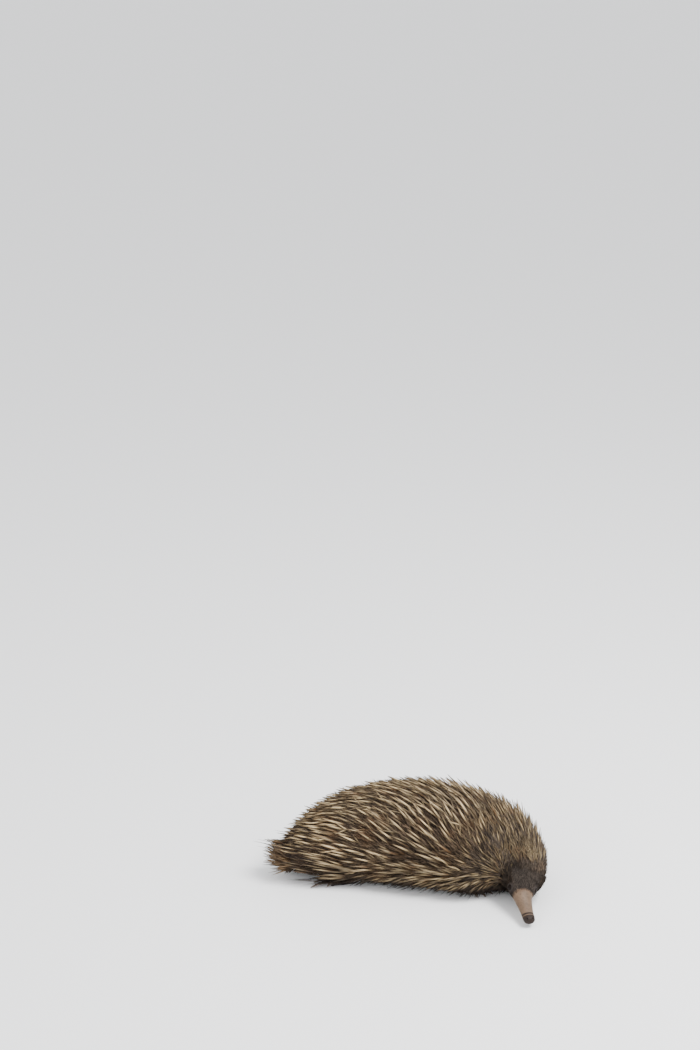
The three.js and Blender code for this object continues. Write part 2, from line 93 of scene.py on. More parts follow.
def unit(vectors: Array) -> Array:
    """Vectors made one long, along the last axis.

    Args:
        vectors: Any array whose last axis holds x, y and z.

    Returns:
        The same directions with length one.
    """
    return vectors / np.maximum(np.linalg.norm(vectors, axis=-1, keepdims=True), 1e-12)


def smooth(value: Array | float, low: float, high: float) -> Array:
    """A smooth step from 0 at low to 1 at high: three times the share's square less twice its cube.

    Args:
        value: Where the step is read.
        low: Where it leaves 0.
        high: Where it reaches 1.

    Returns:
        The step, of the value's shape.
    """
    share = np.clip((np.asarray(value, float) - low) / (high - low), 0.0, 1.0)
    return share * share * (3.0 - 2.0 * share)


@dataclass(frozen=True)
class Section:
    """One named section of the body: the line's place, its sizes and its coat.

    Attributes:
        name: What lies there.
        at: Its middle.
        half: Half its width.
        rise: Its height over the middle.
        drop: Its depth under the middle.
        roll: How far its left side is rolled down, in degrees.
        coat: How deep the coat is.
        spine: How long the spines are.
    """

    name: str
    at: tuple[float, float, float]
    half: float
    rise: float
    drop: float
    roll: float
    coat: float
    spine: float


SECTIONS = (
    Section("rump end", (-152, 6, 23), 15, 12, 9, 0, 13, 28),
    Section("rump", (-128, 19, 28), 37, 26, 16, 0, 16, 38),
    Section("hips", (-90, 35, 32), 57, 46, 25, 0, 16, 48),
    Section("loin", (-42, 43, 36), 69, 57, 29, 0, 15, 52),
    Section("middle", (8, 39, 37), 74, 61, 30, 0, 15, 52),
    Section("ribs", (55, 25, 37), 71, 60, 30, 0, 18, 50),
    Section("shoulders", (95, 3, 36), 64, 52, 29, 1, 19, 44),
    Section("nape", (122, -22, 35), 47, 37, 26, 5, 19, 36),
    Section("back of head", (135, -47, 32), 28, 20, 20, 9, 9, 22),
    Section("eyes", (134, -69, 27.5), 19.5, 13, 15, 10, 0, 10),
    Section("root of beak", (133.5, -86, 22), 12, 9, 10, 8, 0, 0),
    Section("mid beak", (136.3, -104, 15), 8.3, 5.8, 6.1, 4, 0, 0),
    Section("lips", (139.2, -119, 9.4), 6.9, 5.1, 5.3, 0, 0, 0),
)


def place(name: str) -> int:
    """The number of the section with this name."""
    return [section.name for section in SECTIONS].index(name)


TRUNK_FROM = place("rump end") + 0.25
NECK_FROM = place("shoulders") + 0.45
HEAD_FROM = place("back of head")
EAR_AT = HEAD_FROM + 0.4
BEAK_TO = place("lips")
LONGEST_SPINE = max(section.spine for section in SECTIONS)
# The one way that hair and spines take at the rump.
RUMP_WAY = np.array([-0.93, -0.06, 0.3])
# The angle between leaves that never lie over each other, in degrees.
GOLDEN_ANGLE = 137.508
# One over 1.3247, the number whose cube is itself plus one, and the square of that.
SPREAD = (0.7548776662466927, 0.5698402909980532)
# The spines' lie: degrees away from the top of the back, and degrees turned from straight back to the top.
LIE = ((0, 0), (28, 18), (55, 35), (75, 31), (92, 16), (106, 0), (124, -17), (180, -34))


@dataclass(frozen=True)
class BodyForm:
    """The surface that carries trunk, neck, head and beak, as a function of t and turn.

    Attributes:
        skirt: The power that squares the lower half of the trunk's sections.
        tail_length: Length of the tail's stub.
        tail_lift: How far its end is lifted.
        tip_length: Length of the dome at the tip of the beak.
        bare_from: t at which the face's fur ends and the bare beak begins, on top.
        neck_to: t at which the neck's long fur gives way to the face's nap, on the left.
        neck_right: How much further that is on the right.
        neck_top: How much further it is on top.
    """

    skirt: float = 0.6
    tail_length: float = 13.0
    tail_lift: float = 4.0
    tip_length: float = 5.0
    bare_from: float = 9.72
    neck_to: float = 8.1
    neck_right: float = 0.92
    neck_top: float = 0.42

    def row(self, key: str, t: Array) -> Array:
        """A smooth curve through one size of all sections: Catmull and Rom's cubic, with straight-line ends.

        Args:
            key: A field of Section, or x, y or z for its place.
            t: Places counted in sections.

        Returns:
            The size at each place.
        """
        if key in "xyz":
            values = np.array([section.at["xyz".index(key)] for section in SECTIONS], float)
        else:
            values = np.array([getattr(section, key) for section in SECTIONS], float)
        padded = np.concatenate([[2 * values[0] - values[1]], values, [2 * values[-1] - values[-2]]])
        i = np.clip(np.floor(t).astype(int), 0, len(values) - 2)
        s = t - i
        a, b, c, d = (padded[i + k] for k in range(4))
        return b + s * (c - a + s * (2 * a - 5 * b + 4 * c - d + s * (3 * (b - c) + d - a))) / 2

    def line(self, t: Array) -> Array:
        """The points of the middle line at t."""
        return np.stack([self.row(key, t) for key in "xyz"], axis=-1)

    def axes(self, t: Array) -> tuple[Array, Array, Array]:
        """The line's own axes: ahead along it, left of it and level, up square to both, then rolled.

        Args:
            t: Places counted in sections.

        Returns:
            ahead, left and up, each one long.
        """
        step = 0.02
        ahead = unit(self.line(t + step) - self.line(t - step))
        level = unit(np.stack([-ahead[..., 1], ahead[..., 0], 0 * ahead[..., 0]], axis=-1))
        roll = np.radians(self.row("roll", t))[..., None]
        above = np.cross(ahead, level)
        left = level * np.cos(roll) - above * np.sin(roll)
        return ahead, left, np.cross(ahead, left)

    def point(self, t: Array, turn: Array, grow: Array | float = 0.0) -> Array:
        """Points of the surface: from the line half width times cosine across, rise or drop times sine up.

        Below the line both are raised to a power under one, which squares the lower half like a skirt.

        Args:
            t: Places counted in sections.
            turn: Angles from the left side over the back and round, in radians.
            grow: How far outside the surface, in the section's plane.

        Returns:
            One point for each pair of t and turn.
        """
        t, turn = np.broadcast_arrays(np.asarray(t, float), np.asarray(turn, float))
        _, left, up = self.axes(t)
        low = np.sin(turn) < 0
        square = np.where(low, self.skirt + (1 - self.skirt) * smooth(t, NECK_FROM, HEAD_FROM + 0.5), 1.0)
        across = np.sign(np.cos(turn)) * np.abs(np.cos(turn)) ** square
        high = np.sign(np.sin(turn)) * np.abs(np.sin(turn)) ** square
        reach = np.where(low, self.row("drop", t), self.row("rise", t)) + grow
        across = across * (self.row("half", t) + grow)
        return self.line(t) + left * across[..., None] + up * (high * reach)[..., None]

    def frame(self, t: Array, turn: Array) -> tuple[Array, Array, Array]:
        """Directions on the surface from its differences: ahead, round it, and outward.

        Args:
            t: Places counted in sections.
            turn: Angles round the section.

        Returns:
            ahead, round and normal, each one long.
        """
        step = 0.01
        ahead = unit(self.point(t + step, turn) - self.point(t - step, turn))
        round_ = unit(self.point(t, turn + step) - self.point(t, turn - step))
        return ahead, round_, unit(np.cross(round_, ahead))

    def walk(self, t: Array, turn: Array, length: Array, lie: Array) -> tuple[Array, Array]:
        """Where a walk over the surface ends: six equal steps straight back, each turned by the lie.

        Beyond the end of the rump a walk goes on straight through the air.

        Args:
            t: Where each walk starts, in sections.
            turn: Where it starts round the section.
            length: How long it is.
            lie: How far it turns from straight back towards the midline of the back, in radians.

        Returns:
            The end points and the outward normals there.
        """
        steps, small = 6, 0.01
        step = length / steps
        toward = np.where(np.cos(turn) > 0, 1.0, -1.0)
        at, angle, left_over = t.copy(), turn.copy(), np.zeros_like(t)
        flying = np.zeros(t.shape, bool)
        for _ in range(steps):
            here = self.point(at, angle)
            per_t = np.linalg.norm(self.point(at + small, angle) - here, axis=-1) / small
            per_turn = np.linalg.norm(self.point(at, angle + small) - here, axis=-1) / small
            following = at - step * np.cos(lie) / per_t
            flying |= following < 0.1
            at = np.where(flying, at, following)
            angle = np.where(flying, angle, angle + toward * step * np.sin(lie) / per_turn)
            left_over += np.where(flying, step, 0.0)
        ahead, _, normal = self.frame(at, angle)
        back = unit(RUMP_WAY - 0.4 * ahead)
        return self.point(at, angle) + back * left_over[..., None], normal

    def lie(self, turn: Array) -> Array:
        """The lie of spines at a turn, read from the table by straight lines.

        Args:
            turn: Angles round the section.

        Returns:
            How far spines turn from straight back towards the midline of the back, in radians.
        """
        off = np.abs((np.degrees(turn) - 90 + 180) % 360 - 180)
        table = np.array(LIE, float)
        return np.radians(np.interp(off, table[:, 0], table[:, 1]))

    def rear(self, t: Array) -> Array:
        """How far hair and spines turn from their lie to the rump's one way: not at all before the loin."""
        return 0.75 * (1 - smooth(t, 0.9, 3.4))

    def scatter(
        self, count: int, t_range: Span, turn_range: Span, weight: Rule | None, seed: int,
    ) -> tuple[Array, Array]:
        """Evenly spread places, mapped so that equal areas get equal numbers of them.

        Each place has the last one's two numbers plus the two of the spread, without the whole part. They are
        looked up in the sums of the areas of a fine grid's cells, times the weight, first along t and then
        along turn.

        Args:
            count: How many places.
            t_range: First and last t.
            turn_range: First and last turn, in degrees.
            weight: Relative density at t and turn, or None for an even one.
            seed: Shifts the start of the sequence.

        Returns:
            t and turn of each place.
        """
        rows, columns = 160, 240
        t_edges = np.linspace(*t_range, rows + 1)
        turn_edges = np.radians(np.linspace(*turn_range, columns + 1))
        t_mid, turn_mid = (t_edges[1:] + t_edges[:-1]) / 2, (turn_edges[1:] + turn_edges[:-1]) / 2
        grid_t, grid_turn = np.meshgrid(t_mid, turn_mid, indexing="ij")
        small = 0.005
        along_t = self.point(grid_t + small, grid_turn) - self.point(grid_t - small, grid_turn)
        along_turn = self.point(grid_t, grid_turn + small) - self.point(grid_t, grid_turn - small)
        area = np.linalg.norm(np.cross(along_t, along_turn), axis=-1)
        if weight is not None:
            area = area * weight(grid_t, grid_turn)
        area = area + area.max() * 1e-9
        by_row = np.concatenate([[0.0], np.cumsum(area.sum(axis=1))])
        numbers = np.arange(1, count + 1)
        first, second = ((0.13 * seed + numbers * step) % 1.0 for step in SPREAD)
        t = np.interp(first * by_row[-1], by_row, t_edges)
        inner = np.cumsum(area, axis=1)
        inner = np.concatenate([np.zeros((rows, 1)), inner], axis=1) / inner[:, -1:]
        row = np.clip(np.searchsorted(t_edges, t, side="right") - 1, 0, rows - 1)
        keys = (inner + np.arange(rows)[:, None]).ravel()
        spot = np.searchsorted(keys, row + second, side="right") - 1
        column = np.clip(spot - row * (columns + 1), 0, columns - 1)
        low, high = inner[row, column], inner[row, column + 1]
        share = (second - low) / np.maximum(high - low, 1e-12)
        turn = turn_edges[column] + np.clip(share, 0, 1) * (turn_edges[1] - turn_edges[0])
        return t, turn

    def nearest(self, points: Array) -> tuple[Array, Array]:
        """Roughly where points lie on the surface: t of the line's nearest place, and the turn round it.

        Args:
            points: Places on or near the surface.

        Returns:
            t and turn of each.
        """
        steps = np.linspace(TRUNK_FROM, BEAK_TO, 500)
        away = points[:, None] - self.line(steps)[None]
        t = steps[np.argmin((away**2).sum(axis=-1), axis=1)]
        _, left, up = self.axes(t)
        away = points - self.line(t)
        across, high = (away * left).sum(axis=-1), (away * up).sum(axis=-1)
        reach = np.where(high < 0, self.row("drop", t), self.row("rise", t))
        return t, np.arctan2(high / reach, across / self.row("half", t)) % (2 * np.pi)

    def beyond_fur(self, t: Array, turn: Array) -> Array:
        """How far a place lies past the edge of the face's fur, in sections.

        The edge runs nearer to the tip at the sides than on top, and further back underneath.
        """
        line = self.bare_from + 0.16 * np.cos(turn) ** 2 - 0.3 * smooth(-np.sin(turn), 0.1, 0.7)
        return t - line

    def beyond_neck(self, t: Array, turn: Array) -> Array:
        """How far a place lies past the ragged edge of the neck's long fur, in sections.

        On the right side, into which the head is turned, the long fur is pushed forward nearly to the eye.

        Args:
            t: Places counted in sections.
            turn: Angles round the section.

        Returns:
            The distance, below zero on the neck and above it on the face.
        """
        right, left = smooth(-np.cos(turn), 0.66, 0.97), smooth(np.cos(turn), 0.6, 0.95)
        top = smooth(np.sin(turn), 0.35, 0.8)
        ragged = 0.05 * np.sin(11 * turn + 1.0) + 0.06 * np.sin(29 * turn)
        return t - (self.neck_to + self.neck_right * right - 0.05 * left + self.neck_top * top + ragged)

    def cheek(self, t: Array, turn: Array) -> Array:
        """Painted shade round the eyes: how far a place lies in the dark patches there, wider on the shaded
        right side.
        """
        side = smooth(-np.cos(turn), 0.7, 0.85) + 0.8 * smooth(np.cos(turn), 0.9, 0.98)
        return side * (1 - smooth(self.beyond_fur(t, turn), -0.5, -0.2))

    def patch(self, t: Array, turn: Array) -> Array:
        """Slow changes of the coat's brightness, from about 0.6 to 1.1: two crossing waves of t and turn."""
        return 0.85 + 0.13 * np.sin(2.6 * t + 5.0 * turn + 0.6) + 0.13 * np.sin(4.3 * t - 3.7 * turn + 2.0)

    def unwrap(self, t: Array, turn: Array) -> Array:
        """The place of t and turn on the flat unwrap: turn across, t upwards, below the feet's strip."""
        across = (turn / (2 * np.pi) + 0.25) % 1.0
        return np.stack([0.02 + 0.96 * across, 0.02 + 0.8 * np.clip(t / BEAK_TO, 0, 1)], axis=-1)


@dataclass
class MeshData:
    """Arrays of one mesh while it is being put together."""

    points: Array
    triangles: Array
    values: dict[str, Array] = field(default_factory=dict)
    uv: Array | None = None

    @staticmethod
    def join(parts: list[MeshData]) -> MeshData:
        """All parts as one, with the values that the first part has.

        Args:
            parts: Meshes with the same value names and no unwrap.

        Returns:
            One mesh.
        """
        starts = np.cumsum([0] + [len(part.points) for part in parts[:-1]])
        return MeshData(
            np.concatenate([part.points for part in parts]),
            np.concatenate([part.triangles + start for part, start in zip(parts, starts)]),
            {key: np.concatenate([part.values[key] for part in parts]) for key in parts[0].values},
        )


@dataclass
class Workshop:
    """Turns arrays into pieces on the frame."""

    shift: Array
    made: list[str] = field(default_factory=list)

    def piece(
        self, name: str, data: MeshData, material: bpy.types.Material, nodes: Sequence[str] = (),
    ) -> None:
        """Makes one finished piece that rides on the root.

        Args:
            name: The piece's name.
            data: Its mesh in millimetres of the working frame.
            material: Its finish.
            nodes: CAD nodes that it stands for.
        """
        mesh = bpy.data.meshes.new(name)
        points = ((data.points + self.shift) * MM).astype(np.float32)
        count = len(data.triangles)
        mesh.vertices.add(len(points))
        mesh.vertices.foreach_set("co", points.ravel())
        mesh.loops.add(count * 3)
        mesh.loops.foreach_set("vertex_index", data.triangles.astype(np.int32).ravel())
        mesh.polygons.add(count)
        mesh.polygons.foreach_set("loop_start", np.arange(0, count * 3, 3, dtype=np.int32))
        mesh.polygons.foreach_set("use_smooth", np.ones(count, bool))
        for key, values in data.values.items():
            layer = mesh.attributes.new(key, "FLOAT", "POINT")
            layer.data.foreach_set("value", values.astype(np.float32))
        if data.uv is not None:
            layer = mesh.uv_layers.new(name="OFBake")
            layer.data.foreach_set("uv", data.uv[data.triangles.ravel()].astype(np.float32).ravel())
        mesh.update()
        mesh.validate()
        mesh.materials.append(material)
        made = bpy.data.objects.new(name, mesh)
        bpy.context.scene.collection.objects.link(made)
        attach(made, "root")
        if nodes:
            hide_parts(*nodes)
        self.made.append(name)
        LOG.info("%s: %d triangles", name, count)


def grid_triangles(rows: int, columns: int, around: bool = True) -> Array:
    """Triangles of a grid of points whose rows follow each other and whose columns go round.

    Args:
        rows: How many rows of points.
        columns: How many points in each.
        around: Whether the last column joins the first.

    Returns:
        Point numbers, three for each triangle.
    """
    i = np.arange(rows - 1)[:, None]
    j = np.arange(columns if around else columns - 1)[None, :]
    k = (j + 1) % columns
    a, b, c, d = i * columns + j, i * columns + k, (i + 1) * columns + j, (i + 1) * columns + k
    return np.stack([np.stack([a, b, c], -1), np.stack([b, d, c], -1)], axis=2).reshape(-1, 3)


def with_ends(rings: Array) -> Array:
    """Numbers or points of rings in one row, and after them the means of the first and of the last ring."""
    columns = rings.shape[2:]
    return np.concatenate([rings.reshape(-1, *columns), rings[:1].mean(axis=1), rings[-1:].mean(axis=1)])


def closed_tube(rings: Array) -> tuple[Array, Array]:
    """A closed body through rings of points, with a point in the middle of each end ring.

    Args:
        rings: Points by ring, by place round it, by x, y and z. They go round as the right hand curls about
            the way from the first ring to the last.

    Returns:
        The points and the triangles.
    """
    rows, columns = rings.shape[:2]
    j = np.arange(columns)
    k = (j + 1) % columns
    last = (rows - 1) * columns
    first_cap = np.stack([np.full(columns, rows * columns), k, j], -1)
    last_cap = np.stack([np.full(columns, rows * columns + 1), last + j, last + k], -1)
    return with_ends(rings), np.concatenate([grid_triangles(rows, columns), first_cap, last_cap])


class Nodes:
    """Short ways of placing shader nodes in one material."""

    def __init__(self, name: str) -> None:
        """Starts a material with a Principled shader.

        Args:
            name: The material's name.
        """
        self.material = bpy.data.materials.new(name)
        self.material.use_nodes = True
        self.tree = self.material.node_tree
        self.shader = self.tree.nodes["Principled BSDF"]

    def add(
        self, kind: str, inputs: dict[str | int, object] | None = None, **settings: object,
    ) -> bpy.types.Node:
        """One node, with its settings and its inputs linked or set.

        Args:
            kind: The node's type name.
            inputs: Socket names or numbers to a socket, number or colour.
            **settings: Properties of the node.

        Returns:
            The node.
        """
        node = self.tree.nodes.new(kind)
        for key, value in settings.items():
            setattr(node, key, value)
        for key, value in (inputs or {}).items():
            self.put(node.inputs[key], value)
        return node

    def put(self, socket: bpy.types.NodeSocket, value: object) -> None:
        """Links a socket, or sets its value, with a fourth number for a colour.

        Args:
            socket: The input.
            value: A socket, number or colour.
        """
        if isinstance(value, bpy.types.NodeSocket):
            self.tree.links.new(value, socket)
        elif isinstance(value, tuple) and len(value) == 3 and socket.type == "RGBA":
            socket.default_value = (*value, 1.0)
        else:
            socket.default_value = value

    def attribute(self, name: str) -> bpy.types.NodeSocket:
        """A float attribute of the mesh."""
        return self.add("ShaderNodeAttribute", attribute_name=name).outputs["Fac"]

    def place(self, scale: tuple[float, float, float] = (1, 1, 1)) -> bpy.types.NodeSocket:
        """Object coordinates, stretched by a scale."""
        coordinates = self.add("ShaderNodeTexCoord").outputs["Object"]
        return self.add("ShaderNodeMapping", {"Vector": coordinates, "Scale": scale}).outputs["Vector"]

    def noise(
        self, scale: float, detail: float = 3.0, vector: bpy.types.NodeSocket | None = None,
    ) -> bpy.types.NodeSocket:
        """Noise from 0 to 1 over object coordinates, or over the vector given.

        Args:
            scale: Waves to a metre, about.
            detail: Octaves.
            vector: Coordinates to read it over, or None.

        Returns:
            The noise's socket.
        """
        where = vector if vector is not None else self.place()
        inputs = {"Vector": where, "Scale": scale, "Detail": detail}
        return self.add("ShaderNodeTexNoise", inputs).outputs["Fac"]

    def ramp(self, value: bpy.types.NodeSocket, stops: list[tuple[float, Colour]]) -> bpy.types.NodeSocket:
        """Colours read along a row of stops.

        Args:
            value: Where the row is read.
            stops: Places and colours. The first and the last stop come first, then those between them.

        Returns:
            The colour's socket.
        """
        node = self.add("ShaderNodeValToRGB", {"Fac": value})
        for i, (at, colour) in enumerate(stops):
            stop = node.color_ramp.elements[i] if i < 2 else node.color_ramp.elements.new(at)
            stop.position, stop.color = at, (*colour, 1.0)
        return node.outputs["Color"]

    def math(
        self, operation: str, first: object, second: object, third: float = 0.0,
    ) -> bpy.types.NodeSocket:
        """One sum of two or three numbers."""
        return self.add("ShaderNodeMath", {0: first, 1: second, 2: third}, operation=operation).outputs[0]

    def mix(self, share: object, first: object, second: object, blend: str = "MIX") -> bpy.types.NodeSocket:
        """Two colours mixed by a share.

        Args:
            share: Share of the second colour.
            first: A socket or colour.
            second: A socket or colour.
            blend: How they are mixed.

        Returns:
            The colour's socket.
        """
        node = self.add("ShaderNodeMix", data_type="RGBA", blend_type=blend)
        self.put(node.inputs[0], share)
        self.put(node.inputs[6], first)
        self.put(node.inputs[7], second)
        return node.outputs[2]

    def finish(self, colour: object, roughness: object, **sockets: object) -> bpy.types.Material:
        """Sets the shader's sockets and gives the material back.

        Args:
            colour: Base colour, a socket or a colour.
            roughness: A socket or a number.
            **sockets: More sockets, with underscores for spaces.

        Returns:
            The material.
        """
        self.put(self.shader.inputs["Base Color"], colour)
        self.put(self.shader.inputs["Roughness"], roughness)
        for key, value in sockets.items():
            self.put(self.shader.inputs[key.replace("_", " ")], value)
        return self.material

    def bump(
        self, height: bpy.types.NodeSocket, distance: float, strength: float,
    ) -> bpy.types.NodeSocket:
        """A bump of a height whose full step is a distance in millimetres."""
        inputs = {"Height": height, "Distance": distance * MM, "Strength": strength}
        return self.add("ShaderNodeBump", inputs).outputs["Normal"]


@dataclass(frozen=True)
class SpineKeratin:
    """The spines: orange-brown at the root, straw to cream along the shaft, and a thin dark tip."""

    name: str = "spine_keratin"
    root: Colour = (0.03, 0.013, 0.005)
    base: Colour = (0.1, 0.05, 0.022)
    straw: Colour = (0.255, 0.176, 0.088)
    cream: Colour = (0.56, 0.422, 0.232)
    rust: Colour = (0.2, 0.09, 0.03)
    tip: Colour = (0.03, 0.017, 0.01)

    def material(self) -> bpy.types.Material:
        """Builds the finish.

        Returns:
            The material.
        """
        nodes = Nodes(self.name)
        along, tone, warm = (nodes.attribute(key) for key in ("along", "tone", "warm"))
        light = nodes.ramp(along, [(0.0, self.root), (0.98, self.tip), (0.28, self.base), (0.45, self.straw),
                                   (0.68, self.cream), (0.88, self.straw)])
        brown = nodes.ramp(along, [(0.0, self.root), (0.95, self.tip), (0.4, self.base), (0.62, self.straw),
                                   (0.78, self.base)])
        patch = nodes.ramp(nodes.noise(34.0, 2.0), [(0.5, grey(0.0)), (0.66, grey(0.8))])
        rusty = nodes.ramp(along, [(0.0, self.root), (0.97, self.tip), (0.3, self.rust), (0.6, self.rust),
                                   (0.8, self.straw)])
        colour = nodes.mix(nodes.math("MULTIPLY", patch, nodes.math("LESS_THAN", tone, 0.5)),
                           nodes.mix(warm, light, brown), rusty)
        grain = nodes.noise(900.0, 2.0)
        shade = nodes.math("MULTIPLY_ADD", tone, 0.8, 0.3)
        streak = nodes.math("MULTIPLY_ADD", grain, 0.3, 0.85)
        value = nodes.math("MULTIPLY", shade, streak)
        level = nodes.add("ShaderNodeCombineColor", {0: value, 1: value, 2: value}).outputs[0]
        colour = nodes.mix(1.0, colour, level, "MULTIPLY")
        rough = nodes.math("MULTIPLY_ADD", grain, 0.2, 0.38)
        return nodes.finish(colour, rough, Normal=nodes.bump(grain, 0.05, 0.5), Specular_IOR_Level=0.28)


@dataclass(frozen=True)
class Hair:
    """Fur: darker at its root, partly its own colour and partly painted shade deep in the coat, lighter
    towards its tip, each tuft of its own tone.
    """

    name: str
    root: Colour
    dark: Colour
    pale: Colour
    rust_share: float = 0.8

    def material(self) -> bpy.types.Material:
        """Builds the finish.

        Returns:
            The material.
        """
        nodes = Nodes(self.name)
        along, tone = nodes.attribute("along"), nodes.attribute("tone")
        body = nodes.mix(tone, self.dark, self.pale)
        patch = nodes.noise(45.0, 2.0)
        dim = nodes.ramp(patch, [(0.3, (0.62, 0.6, 0.6)), (0.7, (1.12, 1.08, 1.02))])
        body = nodes.mix(1.0, body, dim, "MULTIPLY")
        rusty = nodes.ramp(nodes.noise(38.0, 2.0), [(0.5, grey(0.0)), (0.75, grey(self.rust_share))])
        body = nodes.mix(rusty, body, nodes.mix(1.0, body, (1.25, 1.0, 0.76), "MULTIPLY"))
        # The near-black root is partly the hair's own colour and partly painted shade deep in the coat.
        lift = nodes.ramp(along, [(0.0, grey(0.0)), (0.6, grey(1.0))])
        colour = nodes.mix(lift, self.root, body)
        return nodes.finish(colour, 0.6, Specular_IOR_Level=0.1)


KERATIN = SpineKeratin()
TAIL_KERATIN = SpineKeratin(
    "tail_keratin", base=(0.07, 0.038, 0.018), straw=(0.16, 0.098, 0.05), cream=(0.27, 0.18, 0.095),
    rust=(0.11, 0.062, 0.03),
)
DARK_SPINE = Hair("spine_dark", (0.04, 0.022, 0.013), (0.012, 0.009, 0.008), (0.05, 0.038, 0.032))
BROWN = Hair("fur_brown", (0.0095, 0.0062, 0.0034), (0.03, 0.0215, 0.0142), (0.187, 0.135, 0.094))
NECK = Hair("fur_neck", (0.009, 0.0062, 0.0038), (0.027, 0.0205, 0.0155), (0.175, 0.139, 0.109), 0.5)
FACE = Hair("fur_face", (0.006, 0.0046, 0.0037), (0.0155, 0.0122, 0.0104), (0.105, 0.087, 0.075), 0.2)
# Near-black fur: under the body, at the hem and at the throat it is dark fur with painted shade in it; round
# the eyes it is painted shade.
UNDER_SHADE = Hair("fur_under", (0.003, 0.002, 0.0015), (0.006, 0.0045, 0.0035), (0.05, 0.036, 0.026))


@dataclass(frozen=True)
class Hide:
    """The skin: dark under the coat, dark brown on the face, bare and brown on the beak, dark at its tip,
    with painted shade in nostrils and mouth.
    """

    name: str = "hide"
    under: Colour = (0.02, 0.013, 0.008)
    face: Colour = (0.018, 0.013, 0.011)
    rust: Colour = (0.09, 0.042, 0.018)
    bare: Colour = (0.098, 0.064, 0.04)
    flush: Colour = (0.132, 0.086, 0.056)
    dark: Colour = (0.007, 0.004, 0.0028)
    worn: Colour = (0.026, 0.015, 0.0105)
    # Painted shade inside the nostrils and the mouth's groove.
    hole: Colour = (0.004, 0.003, 0.003)

    def material(self) -> bpy.types.Material:
        """Builds the finish.

        Returns:
            The material.
        """
        nodes = Nodes(self.name)
        keys = ("bare", "rust", "tip", "deep", "head")
        bare, rust, tip, deep, head = (nodes.attribute(key) for key in keys)
        mottle = nodes.noise(170.0, 5.0)
        fine = nodes.noise(1300.0, 3.0)
        beak = nodes.ramp(mottle, [(0.32, self.bare), (0.68, self.flush)])
        speck = nodes.ramp(nodes.noise(520.0, 4.0), [(0.3, (0.72, 0.68, 0.66)), (0.5, (1.0, 1.0, 1.0))])
        beak = nodes.mix(1.0, beak, speck, "MULTIPLY")
        ragged = nodes.math("MULTIPLY_ADD", nodes.noise(330.0, 3.0), 0.9, -0.45)
        edge = nodes.math("ADD", bare, ragged)
        bare_share = nodes.ramp(edge, [(0.36, grey(0.0)), (0.62, grey(1.0))])
        beak = nodes.mix(nodes.math("MULTIPLY", rust, 0.75), beak, self.rust)
        tip_edge = nodes.math("ADD", tip, nodes.math("MULTIPLY", ragged, 0.4))
        tip_share = nodes.ramp(tip_edge, [(0.25, grey(0.0)), (0.8, grey(1.0))])
        beak = nodes.mix(tip_share, beak, nodes.mix(fine, self.dark, self.worn))
        face = nodes.mix(nodes.math("MULTIPLY", mottle, 0.6), self.face, self.under)
        colour = nodes.mix(bare_share, nodes.mix(head, self.under, face), beak)
        # Painted shade in the nostrils and the mouth's groove.
        colour = nodes.mix(deep, colour, self.hole)
        rough = nodes.mix(tip, nodes.ramp(bare, [(0.0, grey(0.85)), (1.0, grey(0.5))]), grey(0.62))
        height = nodes.math("ADD", nodes.math("MULTIPLY", fine, 0.5), mottle)
        return nodes.finish(colour, rough, Normal=nodes.bump(height, 0.25, 0.5), Specular_IOR_Level=0.2)


@dataclass(frozen=True)
class EyeGloss:
    """A wet, nearly black eye."""

    name: str = "eye_gloss"
    dark: Colour = (0.006, 0.0045, 0.004)
    brown: Colour = (0.014, 0.009, 0.007)

    def material(self) -> bpy.types.Material:
        """Builds the finish.

        Returns:
            The material.
        """
        nodes = Nodes(self.name)
        colour = nodes.ramp(nodes.noise(400.0), [(0.3, self.dark), (0.8, self.brown)])
        return nodes.finish(colour, 0.05, IOR=1.34, Specular_IOR_Level=0.08)


@dataclass(frozen=True)
class ClawHorn:
    """Worn dark horn, paler along its edges and at the tip."""

    name: str = "claw_horn"
    dark: Colour = (0.022, 0.015, 0.011)
    pale: Colour = (0.12, 0.085, 0.058)

    def material(self) -> bpy.types.Material:
        """Builds the finish.

        Returns:
            The material.
        """
        nodes = Nodes(self.name)
        along = nodes.attribute("along")
        streak = nodes.noise(500.0, 3.0, nodes.place((1.0, 1.0, 4.0)))
        share = nodes.math("MULTIPLY", along, streak)
        colour = nodes.ramp(share, [(0.1, self.dark), (0.75, self.pale)])
        return nodes.finish(colour, 0.38, Normal=nodes.bump(streak, 0.15, 0.6))


@dataclass(frozen=True)
class StudioFloor:
    """A plain pale floor."""

    name: str = "studio_floor"
    colour: Colour = (0.93, 0.93, 0.93)

    def material(self) -> bpy.types.Material:
        """Builds the finish."""
        nodes = Nodes(self.name)
        return nodes.finish(self.colour, 0.7)


